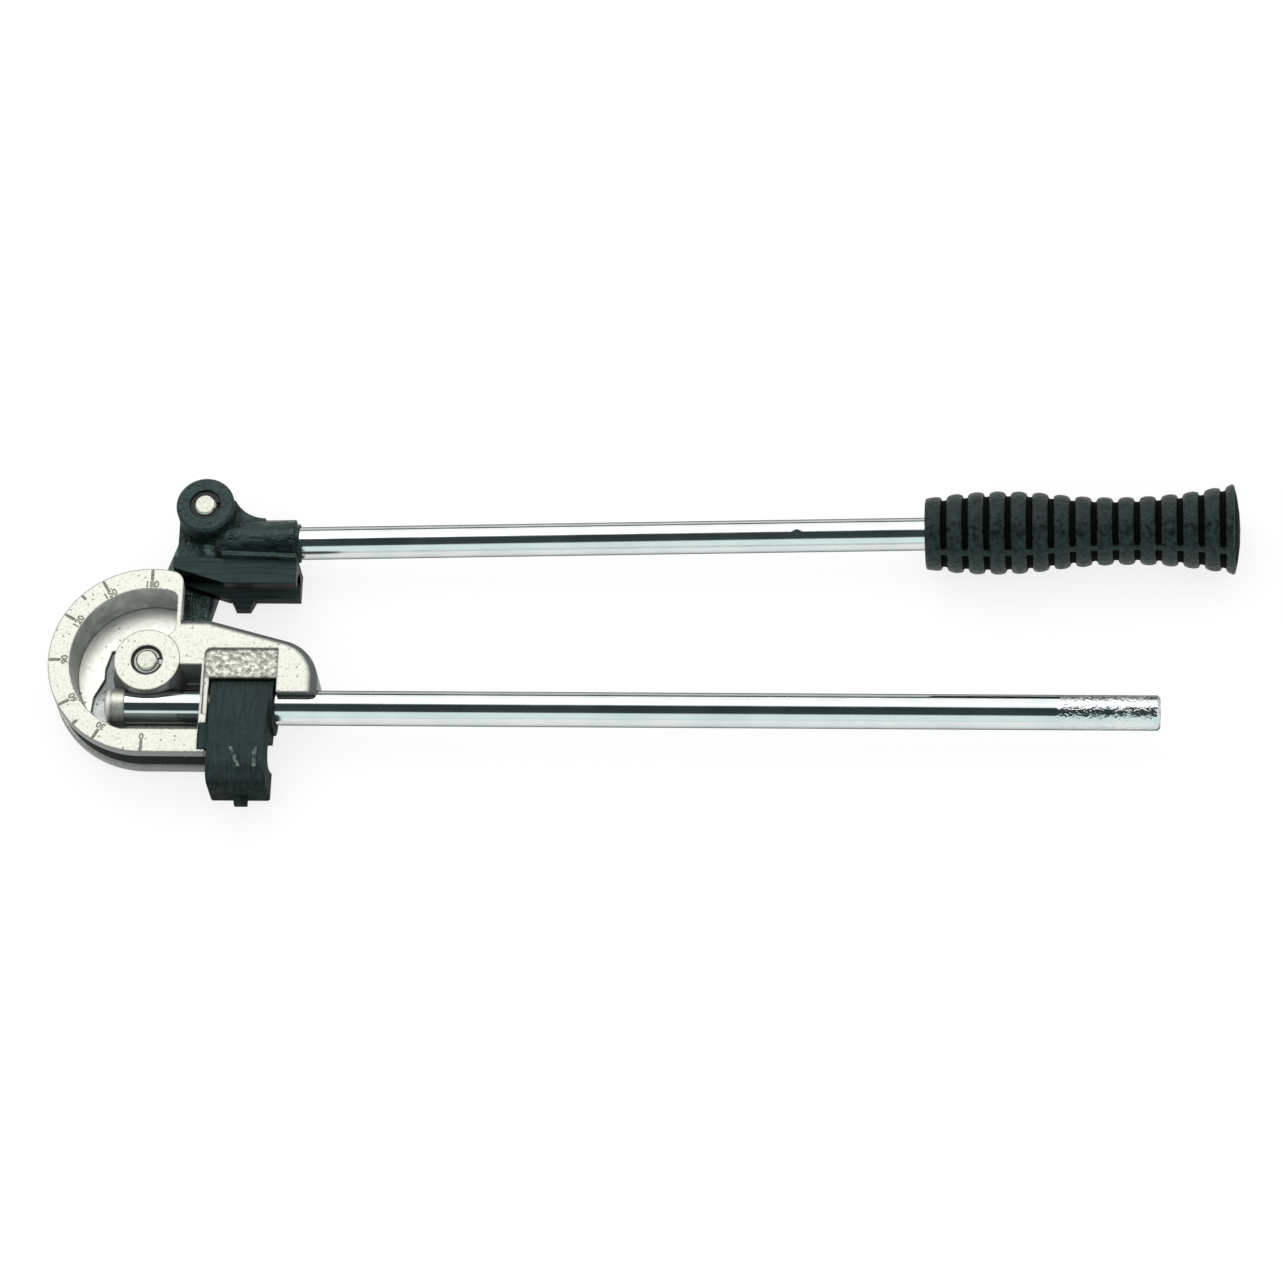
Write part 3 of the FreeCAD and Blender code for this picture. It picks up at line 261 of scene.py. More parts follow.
# Painted shade greys the rim's outer wall, and the recess's walls on the fixed handle's side.
rim_wall_radius = 0.0435
wall_shade_full = 0.008
wall_shade_end = 0.028
zinc_flat = add_node(zinc_tree, "ShaderNodeVectorMath", {1: (1, 1, 0)}, {0: zinc_place}, operation="MULTIPLY")
zinc_radius = add_node(zinc_tree, "ShaderNodeVectorMath", links={0: zinc_flat.outputs[0]}, operation="LENGTH")
rim_wall_shade = add_node(zinc_tree, "ShaderNodeMath", {1: rim_wall_radius}, {0: zinc_radius.outputs["Value"]},
                    operation="GREATER_THAN")
low_wall_shade = add_node(zinc_tree, "ShaderNodeMapRange", {
    1: wall_shade_full, 2: wall_shade_end, 3: 0.85, 4: 0.0}, {0: zinc_axes.outputs["Y"]})
zinc_low_wall_shaded = add_node(zinc_tree, "ShaderNodeMix", {7: colour("#626663")}, {
    0: low_wall_shade.outputs[0], 6: zinc_skin.outputs[0]}, data_type="RGBA")
zinc_walls_shaded = add_node(zinc_tree, "ShaderNodeMix", {7: colour("#777C7B")}, {
    0: rim_wall_shade.outputs[0], 6: zinc_low_wall_shaded.outputs[2]}, data_type="RGBA")
zinc_cast = add_node(zinc_tree, "ShaderNodeMix", links={
    0: zinc_steep.outputs[0], 6: zinc_edges_shaded.outputs[2], 7: zinc_walls_shaded.outputs[2]}, data_type="RGBA")
# A painted highlight makes the stop at the handle's end near white; the sump's floor is a painted shade that
# pales with painted light towards the stop.
stop_centre = (-0.0205, -0.0185, 0.0215)
stop_reach = 0.0078
stop_fade = 0.0090
sump_light_reach = 0.0085
sump_light_fade = 0.0130
stop_distance = add_node(zinc_tree, "ShaderNodeVectorMath", {1: stop_centre}, {0: zinc_place},
                         operation="DISTANCE")
stop_highlight_share = add_node(zinc_tree, "ShaderNodeMapRange", {1: stop_reach, 2: stop_fade, 3: 1.0, 4: 0.0},
                      {0: stop_distance.outputs["Value"]})
zinc_stop_highlighted = add_node(zinc_tree, "ShaderNodeMix", {7: colour("#FAFBF7")}, {
    0: stop_highlight_share.outputs[0], 6: zinc_cast.outputs[2]}, data_type="RGBA")
sump_painted_light = add_node(zinc_tree, "ShaderNodeMapRange", {1: sump_light_reach, 2: sump_light_fade, 3: 0.9, 4: 0.0},
                     {0: stop_distance.outputs["Value"]})
sump_shade_and_light = add_node(zinc_tree, "ShaderNodeMix", {6: colour("#767B79"), 7: colour("#C9D0CC")}, {
    0: sump_painted_light.outputs[0]}, data_type="RGBA")
zinc_sump_painted = add_node(zinc_tree, "ShaderNodeMix", links={
    0: sump_level.outputs[0], 6: zinc_stop_highlighted.outputs[2], 7: sump_shade_and_light.outputs[2]}, data_type="RGBA")
# The web's rounded edge takes its painted shade here.
zinc_web_edge_shaded = add_node(zinc_tree, "ShaderNodeMix", {7: colour("#64696A")}, {
    0: web_edge_shade.outputs[0], 6: zinc_sump_painted.outputs[2]}, data_type="RGBA")
# The groove is painted dark as shade.
groove_middle = 0.0206
groove_half = 0.0063
groove_inner = 0.0357
groove_level = add_node(zinc_tree, "ShaderNodeMath", {1: groove_middle, 2: groove_half},
                        {0: zinc_axes.outputs["Z"]}, operation="COMPARE")
groove_reach = add_node(zinc_tree, "ShaderNodeMath", {1: groove_inner}, {0: zinc_radius.outputs["Value"]},
                        operation="GREATER_THAN")
groove_shade_mask = add_node(zinc_tree, "ShaderNodeMath", links={
    0: groove_level.outputs[0], 1: groove_reach.outputs[0]}, operation="MULTIPLY")
zinc_groove_shaded = add_node(zinc_tree, "ShaderNodeMix", {7: colour("#565A59")}, {
    0: groove_shade_mask.outputs[0], 6: zinc_web_edge_shaded.outputs[2]}, data_type="RGBA")
# A fine line of painted shade runs round the hub's edge on the web.
hub_line_radius = 0.0151
hub_line_half = 0.00022
hub_edge_shade = add_node(zinc_tree, "ShaderNodeMath", {1: hub_line_radius, 2: hub_line_half},
                    {0: zinc_radius.outputs["Value"]}, operation="COMPARE")
zinc_hub_edge_shaded = add_node(zinc_tree, "ShaderNodeMix", {7: colour("#7B7D77")}, {
    0: hub_edge_shade.outputs[0], 6: zinc_groove_shaded.outputs[2]}, data_type="RGBA")
# Gas pores up to 0.9 mm across, one in a dozen square millimetres.
zinc_cells = add_node(zinc_tree, "ShaderNodeTexVoronoi", {"Scale": 1 / 0.0026}, {"Vector": zinc_place})
zinc_pore_size = add_node(zinc_tree, "ShaderNodeMapRange", {1: 0.08, 2: 0.18, 3: 1.0, 4: 0.0},
                          {0: zinc_cells.outputs["Distance"]})
zinc_pore_pick = add_node(zinc_tree, "ShaderNodeSeparateColor", links={0: zinc_cells.outputs["Color"]})
zinc_pore_kept = add_node(zinc_tree, "ShaderNodeMath", {1: 0.5}, {0: zinc_pore_pick.outputs[0]},
                          operation="GREATER_THAN")
zinc_pores = add_node(zinc_tree, "ShaderNodeMath", links={
    0: zinc_pore_size.outputs[0], 1: zinc_pore_kept.outputs[0]}, operation="MULTIPLY")
zinc_pored = add_node(zinc_tree, "ShaderNodeMix", {7: colour("#8D8A80")}, {
    0: zinc_pores.outputs[0], 6: zinc_hub_edge_shaded.outputs[2]}, data_type="RGBA")
# The sunk panel on the web is left as cast, with lumps of about 2 mm, 0.9 mm below the face.
panel_level_height = face_height - 0.0009
panel_margin = 0.0004
panel_centre = (0.0433, -0.0011)
panel_half = (0.0170, 0.0074)
panel_level = add_node(zinc_tree, "ShaderNodeMath", {1: panel_level_height, 2: panel_margin},
                       {0: zinc_axes.outputs["Z"]}, operation="COMPARE")
panel_across = add_node(zinc_tree, "ShaderNodeMath", {1: panel_centre[0], 2: panel_half[0]},
                        {0: zinc_axes.outputs["X"]}, operation="COMPARE")
panel_up = add_node(zinc_tree, "ShaderNodeMath", {1: panel_centre[1], 2: panel_half[1]},
                    {0: zinc_axes.outputs["Y"]}, operation="COMPARE")
panel_part = add_node(zinc_tree, "ShaderNodeMath", links={
    0: panel_level.outputs[0], 1: panel_across.outputs[0]}, operation="MULTIPLY")
panel_floor = add_node(zinc_tree, "ShaderNodeMath", links={
    0: panel_part.outputs[0], 1: panel_up.outputs[0]}, operation="MULTIPLY")
panel_lumps = add_node(zinc_tree, "ShaderNodeTexNoise", {"Scale": 1 / 0.0022, "Detail": 2.0},
                       {"Vector": zinc_place})
panel_tone = add_node(zinc_tree, "ShaderNodeValToRGB", links={0: panel_lumps.outputs[0]}, stops=[
    (0.36, colour("#8F8F83")), (0.5, colour("#ADADA1")), (0.62, colour("#E3E3DA"))])
zinc_colour = add_node(zinc_tree, "ShaderNodeMix", links={
    0: panel_floor.outputs[0], 6: zinc_pored.outputs[2], 7: panel_tone.outputs[0]}, data_type="RGBA")
# Painted shade darkens the inner corners, about a millimetre wide.
zinc_occlusion = add_node(zinc_tree, "ShaderNodeAmbientOcclusion", {"Distance": 0.0012}, samples=6)
corner_painted_shade = add_node(zinc_tree, "ShaderNodeMapRange", {1: 0.5, 2: 0.9, 3: 0.75, 4: 0.0},
                       {0: zinc_occlusion.outputs["AO"]})
zinc_corners_shaded = add_node(zinc_tree, "ShaderNodeMix", {7: colour("#4A4F4D")}, {
    0: corner_painted_shade.outputs[0], 6: zinc_colour.outputs[2]}, data_type="RGBA")
zinc_tree.links.new(zinc_corners_shaded.outputs[2], zinc_shader.inputs["Base Color"])
# Ground zinc is half bare metal to the eye, the recess floor more so and the stop less, so that its painted
# highlight reads white.
zinc_bare = add_node(zinc_tree, "ShaderNodeMath", links={
    0: recess_level.outputs[0], 1: stop_highlight_share.outputs[0]}, operation="SUBTRACT")
zinc_metal = add_node(zinc_tree, "ShaderNodeMapRange", {1: -1.0, 2: 1.0, 3: 0.28, 4: 0.72},
                      {0: zinc_bare.outputs[0]})
zinc_tree.links.new(zinc_metal.outputs[0], zinc_shader.inputs["Metallic"])
zinc_gloss = add_node(zinc_tree, "ShaderNodeMapRange", {1: 0.3, 2: 0.7, 3: 0.30, 4: 0.42},
                      {0: zinc_marks.outputs[0]})
edge_dull = add_node(zinc_tree, "ShaderNodeMath", {1: 0.7}, {0: web_edge_shade.outputs[0]}, operation="MULTIPLY")
zinc_dull = add_node(zinc_tree, "ShaderNodeMath", links={0: zinc_gloss.outputs[0], 1: edge_dull.outputs[0]},
                     operation="MAXIMUM")
zinc_tree.links.new(zinc_dull.outputs[0], zinc_shader.inputs["Roughness"])
panel_relief = add_node(zinc_tree, "ShaderNodeMath", links={
    0: panel_lumps.outputs[0], 1: panel_floor.outputs[0]}, operation="MULTIPLY")
panel_bump = add_node(zinc_tree, "ShaderNodeBump", {"Strength": 1.0, "Distance": 0.0009},
                      {"Height": panel_relief.outputs[0], "Normal": zinc_edges.outputs[0]})
pore_bump = add_node(zinc_tree, "ShaderNodeBump", {"Strength": 0.8, "Distance": 0.00025},
                     {"Height": zinc_pores.outputs[0], "Normal": panel_bump.outputs[0]}, invert=True)
mark_bump = add_node(zinc_tree, "ShaderNodeBump", {"Strength": 0.5, "Distance": 0.00008},
                     {"Height": zinc_marks.outputs[0], "Normal": pore_bump.outputs[0]})
zinc_tree.links.new(mark_bump.outputs[0], zinc_shader.inputs["Normal"])
give_finish(zinc, "bend_former")


# Angle dial: a line every 30 degrees on the rim from the zero mark at the straight end, with
# its number inside it, and a short line at 45 and 135. Printed in a grey-green ink.
dial_outer = 0.0451
long_line = 0.0056
short_line = 0.0030
line_width = 0.0014
ink_thickness = 0.00008
ink_sink = 0.00004
number_radius = 0.0376
number_height = 0.0043
ink_stroke = 0.00011

dial_ink, ink_tree, ink_shader, ink_place = new_finish("screen_printed_ink", {"IOR": 1.45})
# Worn printing: it thins and pales over patches of about 0.8 mm.
ink_wear = add_node(ink_tree, "ShaderNodeTexNoise", {"Scale": 1 / 0.0008, "Detail": 4.0},
                    {"Vector": ink_place})
ink_tone = add_node(ink_tree, "ShaderNodeValToRGB", links={0: ink_wear.outputs[0]}, stops=[
    (0.36, colour("#65685B")), (0.66, colour("#989A8E"))])
ink_dull = add_node(ink_tree, "ShaderNodeMapRange", {1: 0.3, 2: 0.7, 3: 0.6, 4: 0.4},
                    {0: ink_wear.outputs[0]})
ink_tree.links.new(ink_tone.outputs[0], ink_shader.inputs["Base Color"])
ink_tree.links.new(ink_dull.outputs[0], ink_shader.inputs["Roughness"])

dial_mesh = bmesh.new()


def dial_angle(bend):
    """Direction on the rim, in radians from +X, of a bend angle in degrees."""
    return math.radians(-90 - bend)


def dial_line(bend, length):
    """A thin bar of ink with rounded ends, pointing at the pivot."""
    outward = Vector((math.cos(dial_angle(bend)), math.sin(dial_angle(bend)), 0))
    across = Vector((-outward.y, outward.x, 0))
    half = line_width / 2
    shape = []
    for end, turn in ((dial_outer - half, 1), (dial_outer - length + half, -1)):
        for step in range(7):
            angle = math.radians(-90 + step * 30)
            offset = across * half * math.sin(angle) * turn + outward * half * math.cos(angle) * turn
            shape.append(outward * end + offset)
    low = [dial_mesh.verts.new((*point.xy, face_height - ink_sink)) for point in shape]
    high = [dial_mesh.verts.new((*point.xy, face_height + ink_thickness)) for point in shape]
    dial_mesh.faces.new(high)
    dial_mesh.faces.new(low[::-1])
    for index in range(len(shape)):
        after = (index + 1) % len(shape)
        dial_mesh.faces.new((low[index], low[after], high[after], high[index]))


for bend in range(0, 181, 30):
    dial_line(bend, long_line)
for bend in (45, 135):
    dial_line(bend, short_line)
bmesh.ops.recalc_face_normals(dial_mesh, faces=dial_mesh.faces)
dial_lines = bpy.data.objects.new("dial_lines", bpy.data.meshes.new("dial_lines"))
dial_mesh.to_mesh(dial_lines.data)
dial_mesh.free()
bpy.context.scene.collection.objects.link(dial_lines)
dial_lines.data.materials.append(dial_ink)
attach(dial_lines, "former")

for bend in range(0, 181, 30):
    number = bpy.data.curves.new("dial_number_" + str(bend), "FONT")
    number.body = str(bend)
    number.size = number_height
    number.align_x = "CENTER"
    number.align_y = "CENTER"
    number.extrude = ink_thickness
    number.offset = ink_stroke
    plate = bpy.data.objects.new("dial_number_" + str(bend), number)
    spin = Matrix.Rotation(dial_angle(bend) - math.pi / 2, 4, "Z")
    outward = Vector((math.cos(dial_angle(bend)), math.sin(dial_angle(bend)), 0))
    plate.matrix_world = Matrix.Translation(outward * number_radius + Vector((0, 0, face_height))) @ spin
    bpy.context.scene.collection.objects.link(plate)
    number.materials.append(dial_ink)
    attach(plate, "former")


# Fixed handle and lever tube: drawn steel tube, polished and chromed, so it mirrors the room
# in long bands, darker towards its sides. The fixed handle's last 45 mm are left rough, and the
# lever tube has a dimple.
chrome, chrome_tree, chrome_shader, chrome_place = new_finish("chromed_tube", {
    "Metallic": 1.0, "Specular Tint": colour("#465150")})
chrome_axes = add_node(chrome_tree, "ShaderNodeSeparateXYZ", links={0: chrome_place})
# Drawing lines run along the tube, about 0.7 mm apart.
chrome_stretch = add_node(chrome_tree, "ShaderNodeMapping", {"Scale": (12, 1 / 0.0007, 1 / 0.0007)},
                          {"Vector": chrome_place})
chrome_lines = add_node(chrome_tree, "ShaderNodeTexNoise", {"Scale": 1.0, "Detail": 3.0},
                        {"Vector": chrome_stretch.outputs[0]})
chrome_cloud = add_node(chrome_tree, "ShaderNodeTexNoise", {"Scale": 1 / 0.018, "Detail": 4.0},
                        {"Vector": chrome_place})
chrome_tone = add_node(chrome_tree, "ShaderNodeValToRGB", links={0: chrome_cloud.outputs[0]}, stops=[
    (0.35, colour("#D3DADA")), (0.65, colour("#DFE4E3"))])
chrome_tree.links.new(chrome_tone.outputs[0], chrome_shader.inputs["Base Color"])
rough_start = 0.4135
rough_full = 0.4150
rough_end_zone = add_node(chrome_tree, "ShaderNodeMapRange", {1: rough_start, 2: rough_full},
                          {0: chrome_axes.outputs["X"]})
chrome_gloss = add_node(chrome_tree, "ShaderNodeMapRange", {1: 0.3, 2: 0.7, 3: 0.07, 4: 0.14},
                        {0: chrome_cloud.outputs[0]})
chrome_tree.links.new(chrome_gloss.outputs[0], chrome_shader.inputs["Roughness"])
line_bump = add_node(chrome_tree, "ShaderNodeBump", {"Strength": 0.25, "Distance": 0.00003},
                     {"Height": chrome_lines.outputs[0]})
# The rough end is a fine tooth of about 0.6 mm, drawn at 1.5 mm.
rough_grain = add_node(chrome_tree, "ShaderNodeTexNoise", {"Scale": 1 / 0.0015, "Detail": 2.0},
                       {"Vector": chrome_place})
rough_relief = add_node(chrome_tree, "ShaderNodeMath", links={
    0: rough_grain.outputs[0], 1: rough_end_zone.outputs[0]}, operation="MULTIPLY")
rough_bump = add_node(chrome_tree, "ShaderNodeBump", {"Strength": 1.0, "Distance": 0.0005},
                      {"Height": rough_relief.outputs[0], "Normal": line_bump.outputs[0]})
dimple_centre = (0.2939, 0.0667, 0.0280)
dimple_radius = 0.0028
dimple_distance = add_node(chrome_tree, "ShaderNodeVectorMath", {1: dimple_centre}, {0: chrome_place},
                           operation="DISTANCE")
dimple_hollow = add_node(chrome_tree, "ShaderNodeMapRange", {1: 0.0, 2: dimple_radius}, {
    0: dimple_distance.outputs["Value"]}, interpolation_type="SMOOTHSTEP")
dimple_bump = add_node(chrome_tree, "ShaderNodeBump", {"Strength": 1.0, "Distance": 0.0003},
                       {"Height": dimple_hollow.outputs[0], "Normal": rough_bump.outputs[0]})
chrome_tree.links.new(dimple_bump.outputs[0], chrome_shader.inputs["Normal"])
give_finish(chrome, "fixed_handle", "lever_tube")


# Handle plug: polyethylene, injection moulded and pushed into the tube. A soft sheen with a
# faint grain.
plug_plastic, plug_tree, plug_shader, plug_place = new_finish("moulded_polyethylene", {
    "IOR": 1.51, "Roughness": 0.5})
# Mould grain of about 0.4 mm.
plug_grain = add_node(plug_tree, "ShaderNodeTexNoise", {"Scale": 1 / 0.0004, "Detail": 3.0},
                      {"Vector": plug_place})
plug_tone = add_node(plug_tree, "ShaderNodeValToRGB", links={0: plug_grain.outputs[0]}, stops=[
    (0.3, colour("#141617")), (0.7, colour("#1E2122"))])
plug_bump = add_node(plug_tree, "ShaderNodeBump", {"Strength": 0.4, "Distance": 0.00006},
                     {"Height": plug_grain.outputs[0]})
plug_tree.links.new(plug_tone.outputs[0], plug_shader.inputs["Base Color"])
plug_tree.links.new(plug_bump.outputs[0], plug_shader.inputs["Normal"])
give_finish(plug_plastic, "handle_plug")


# Pins and washers: turned carbon steel, bright. The lathe leaves fine rings round each pin's
# axis, which draw the light into a soft star on the flat ends.
steel, steel_tree, steel_shader, steel_place = new_finish("turned_steel", {"Metallic": 1.0})
pivot_axis = (0.0, 0.0, 0.0)
eye_axis = (0.0225, 0.0764, 0.0)
steel_flat = add_node(steel_tree, "ShaderNodeVectorMath", {1: (1, 1, 0)}, {0: steel_place},
                      operation="MULTIPLY")
from_pivot = add_node(steel_tree, "ShaderNodeVectorMath", {1: pivot_axis}, {0: steel_flat.outputs[0]},
                      operation="DISTANCE")
from_eye = add_node(steel_tree, "ShaderNodeVectorMath", {1: eye_axis}, {0: steel_flat.outputs[0]},
                    operation="DISTANCE")
from_axis = add_node(steel_tree, "ShaderNodeMath", links={
    0: from_pivot.outputs["Value"], 1: from_eye.outputs["Value"]}, operation="MINIMUM")
# The feed of the lathe is 0.15 mm a turn, drawn at 0.6 mm.
feed_pitch = 0.0006
feed_turns = add_node(steel_tree, "ShaderNodeMath", {1: 2 * math.pi / feed_pitch}, {0: from_axis.outputs[0]},
                      operation="MULTIPLY")
feed_rings = add_node(steel_tree, "ShaderNodeMath", links={0: feed_turns.outputs[0]}, operation="SINE")
steel_mottle = add_node(steel_tree, "ShaderNodeTexNoise", {"Scale": 1 / 0.0011, "Detail": 4.0},
                        {"Vector": steel_place})
steel_tone = add_node(steel_tree, "ShaderNodeValToRGB", links={0: steel_mottle.outputs[0]}, stops=[
    (0.35, colour("#93948A")), (0.62, colour("#B9BAB0"))])
steel_gloss = add_node(steel_tree, "ShaderNodeMapRange", {1: 0.3, 2: 0.7, 3: 0.26, 4: 0.38},
                       {0: steel_mottle.outputs[0]})
steel_bump = add_node(steel_tree, "ShaderNodeBump", {"Strength": 0.4, "Distance": 0.00002},
                      {"Height": feed_rings.outputs[0]})
steel_tree.links.new(steel_tone.outputs[0], steel_shader.inputs["Base Color"])
steel_tree.links.new(steel_gloss.outputs[0], steel_shader.inputs["Roughness"])
steel_tree.links.new(steel_bump.outputs[0], steel_shader.inputs["Normal"])
give_finish(steel, "handle_pin", "pivot_pin", "pivot_washer", "hinge_pin", "hinge_washer",
            "lever_tube_pin", "shoe_pin")


# Retaining rings: spring steel, stamped and blackened in hot oil, snapped into the pins'
# grooves. Nearly black with a dull metallic edge.
oil_black, oil_tree, oil_shader, oil_place = new_finish("oil_blackened_steel", {"Metallic": 0.85})
# Oxide grain of about 0.3 mm.
oil_grain = add_node(oil_tree, "ShaderNodeTexNoise", {"Scale": 1 / 0.0003, "Detail": 4.0},
                     {"Vector": oil_place})
oil_tone = add_node(oil_tree, "ShaderNodeValToRGB", links={0: oil_grain.outputs[0]}, stops=[
    (0.3, colour("#1C1E1F")), (0.7, colour("#323536"))])
oil_gloss = add_node(oil_tree, "ShaderNodeMapRange", {1: 0.3, 2: 0.7, 3: 0.32, 4: 0.5},
                     {0: oil_grain.outputs[0]})
# The pivot's ring is rubbed bright on its inner half.
bright_reach = 0.0057
bright_fade = 0.0060
ring_flat = add_node(oil_tree, "ShaderNodeVectorMath", {1: (1, 1, 0)}, {0: oil_place}, operation="MULTIPLY")
ring_radius = add_node(oil_tree, "ShaderNodeVectorMath", links={0: ring_flat.outputs[0]}, operation="LENGTH")
ring_rubbed = add_node(oil_tree, "ShaderNodeMapRange", {1: bright_reach, 2: bright_fade, 3: 1.0, 4: 0.0},
                       {0: ring_radius.outputs["Value"]})
ring_tone = add_node(oil_tree, "ShaderNodeMix", {7: colour("#A3A49B")}, {
    0: ring_rubbed.outputs[0], 6: oil_tone.outputs[0]}, data_type="RGBA")
oil_tree.links.new(ring_tone.outputs[2], oil_shader.inputs["Base Color"])
oil_tree.links.new(oil_gloss.outputs[0], oil_shader.inputs["Roughness"])
give_finish(oil_black, "pivot_retaining_ring", "hinge_retaining_ring")


# Bushes: sintered bronze, pressed into the link and the lever's eye and soaked in oil. Dark, a
# little warm and finely porous.
bronze, bronze_tree, bronze_shader, bronze_place = new_finish("sintered_bronze", {"Metallic": 1.0})
# The pressed grains are about 0.1 mm, drawn at 0.35 mm, with the oily pores between them.
bronze_grain = add_node(bronze_tree, "ShaderNodeTexVoronoi", {"Scale": 1 / 0.00035}, {"Vector": bronze_place})
bronze_tone = add_node(bronze_tree, "ShaderNodeValToRGB", links={0: bronze_grain.outputs["Distance"]}, stops=[
    (0.15, colour("#14110D")), (0.5, colour("#241E17"))])
bronze_gloss = add_node(bronze_tree, "ShaderNodeMapRange", {1: 0.1, 2: 0.6, 3: 0.6, 4: 0.45},
                        {0: bronze_grain.outputs["Distance"]})
bronze_tree.links.new(bronze_tone.outputs[0], bronze_shader.inputs["Base Color"])
bronze_tree.links.new(bronze_gloss.outputs[0], bronze_shader.inputs["Roughness"])
give_finish(bronze, "link_bush", "hinge_bush")


# Link: a flat iron casting behind the former, in black gloss enamel. The enamel is a little
# uneven over the cast skin, has runs in it and a cold green cast.
def iron_enamel(name, level, shades, top_sheen, stretch, run_depth):
    """Enamel on cast iron, with its runs drawn out along the longest of the three lengths."""
    finish, tree, shader, place = new_finish(name, {
        "IOR": 1.5, "Specular IOR Level": level, "Specular Tint": colour("#D2F8F1")})
    # The cast skin under the enamel rolls over about 2.5 mm, and its grit is about 0.7 mm.
    skin = add_node(tree, "ShaderNodeTexNoise", {"Scale": 1 / 0.0025, "Detail": 3.0}, {"Vector": place})
    grit = add_node(tree, "ShaderNodeTexNoise", {"Scale": 1 / 0.0007, "Detail": 2.0}, {"Vector": place})
    drawn = add_node(tree, "ShaderNodeMapping", {"Scale": [1 / length for length in stretch]},
                     {"Vector": place})
    runs = add_node(tree, "ShaderNodeTexNoise", {"Scale": 1.0, "Detail": 4.0, "Distortion": 0.6},
                    {"Vector": drawn.outputs[0]})
    tone = add_node(tree, "ShaderNodeValToRGB", links={0: runs.outputs[0]}, stops=[
        (0.38, colour(shades[0])), (0.62, colour(shades[1]))])
    both = add_node(tree, "ShaderNodeMath", links={0: skin.outputs[0], 1: runs.outputs[0]}, operation="ADD")
    gloss = add_node(tree, "ShaderNodeMapRange", {1: 0.75, 2: 1.25, 3: 0.16, 4: 0.44}, {0: both.outputs[0]})
    # Faces that look up get a painted sheen added to their colour, and the steep sides got less enamel, so
    # they are dull.
    geometry = add_node(tree, "ShaderNodeNewGeometry")
    facing = add_node(tree, "ShaderNodeSeparateXYZ", links={0: geometry.outputs["Normal"]})
    upward = add_node(tree, "ShaderNodeMapRange", {1: 0.3, 2: 0.8}, {0: facing.outputs["Z"]})
    painted_top_sheen = add_node(tree, "ShaderNodeMix", {7: colour(top_sheen)}, {
        0: upward.outputs[0], 6: tone.outputs[0]}, data_type="RGBA", blend_type="ADD")
    side_dull = add_node(tree, "ShaderNodeMapRange", {3: 0.75, 4: 0.0}, {0: upward.outputs[0]})
    dulled = add_node(tree, "ShaderNodeMath", links={0: gloss.outputs[0], 1: side_dull.outputs[0]},
                      operation="MAXIMUM")
    # The enamel rounds every cast edge to about 0.7 mm.
    edges = add_node(tree, "ShaderNodeBevel", {"Radius": 0.0007}, samples=6)
    skin_bump = add_node(tree, "ShaderNodeBump", {"Strength": 0.8, "Distance": 0.0007},
                         {"Height": skin.outputs[0], "Normal": edges.outputs[0]})
    run_bump = add_node(tree, "ShaderNodeBump", {"Strength": 0.8, "Distance": run_depth},
                        {"Height": runs.outputs[0], "Normal": skin_bump.outputs[0]})
    grit_bump = add_node(tree, "ShaderNodeBump", {"Strength": 0.25, "Distance": 0.00008},
                         {"Height": grit.outputs[0], "Normal": run_bump.outputs[0]})
    tree.links.new(painted_top_sheen.outputs[2], shader.inputs["Base Color"])
    tree.links.new(dulled.outputs[0], shader.inputs["Roughness"])
    tree.links.new(grit_bump.outputs[0], shader.inputs["Normal"])
    return finish, tree, shader, place, painted_top_sheen


# Runs on the link are about 2 mm apart and ten times as long, across the arm.
# Its tones are painted lighter than the other black enamel, as painted light where the head shades it.
lit_link_enamel = iron_enamel(
    "enamel_on_link_iron", 0.9, ("#1C2827", "#4A5B58"), "#0A0D0D", (0.0022, 0.02, 0.006), 0.0008)
give_finish(lit_link_enamel[0], "link_arm")


# Lever head: the iron casting with the eye, the socket for the tube and the foot. Its runs lie
# along the socket, and a pale highlight is painted in the hollow beside the eye.
head_enamel, head_tree, head_shader, head_place, head_tone = iron_enamel(
    "enamel_on_head_iron", 0.36, ("#020606", "#1F2E2C"), "#0F1414", (0.009, 0.003, 0.004), 0.0006)
highlight_centre = (0.0243, 0.0606, 0.0211)
highlight_reach = 0.0014
highlight_fade = 0.0046
highlight_distance = add_node(head_tree, "ShaderNodeVectorMath", {1: highlight_centre}, {0: head_place},
                         operation="DISTANCE")
highlight_share = add_node(head_tree, "ShaderNodeMapRange", {1: highlight_reach, 2: highlight_fade, 3: 0.8, 4: 0.0},
                      {0: highlight_distance.outputs["Value"]}, interpolation_type="SMOOTHSTEP")
# The painted highlight is broken into streaks about 1.4 mm wide and 6 mm long.
highlight_turn = math.radians(-60)
highlight_streaks = add_node(head_tree, "ShaderNodeMapping", {
    "Rotation": (0, 0, highlight_turn), "Scale": (1 / 0.006, 1 / 0.0014, 1 / 0.006)}, {"Vector": head_place})
highlight_noise = add_node(head_tree, "ShaderNodeTexNoise", {"Scale": 1.0, "Detail": 2.0},
                      {"Vector": highlight_streaks.outputs[0]})
highlight_broken = add_node(head_tree, "ShaderNodeMapRange", {1: 0.38, 2: 0.54}, {0: highlight_noise.outputs[0]})
painted_highlight_mask = add_node(head_tree, "ShaderNodeMath", links={0: highlight_share.outputs[0], 1: highlight_broken.outputs[0]},
                     operation="MULTIPLY")
head_highlighted = add_node(head_tree, "ShaderNodeMix", {7: colour("#7F9A94")}, {
    0: painted_highlight_mask.outputs[0], 6: head_tone.outputs[2]}, data_type="RGBA")
head_tree.links.new(head_highlighted.outputs[2], head_shader.inputs["Base Color"])
give_finish(head_enamel, "lever_head")
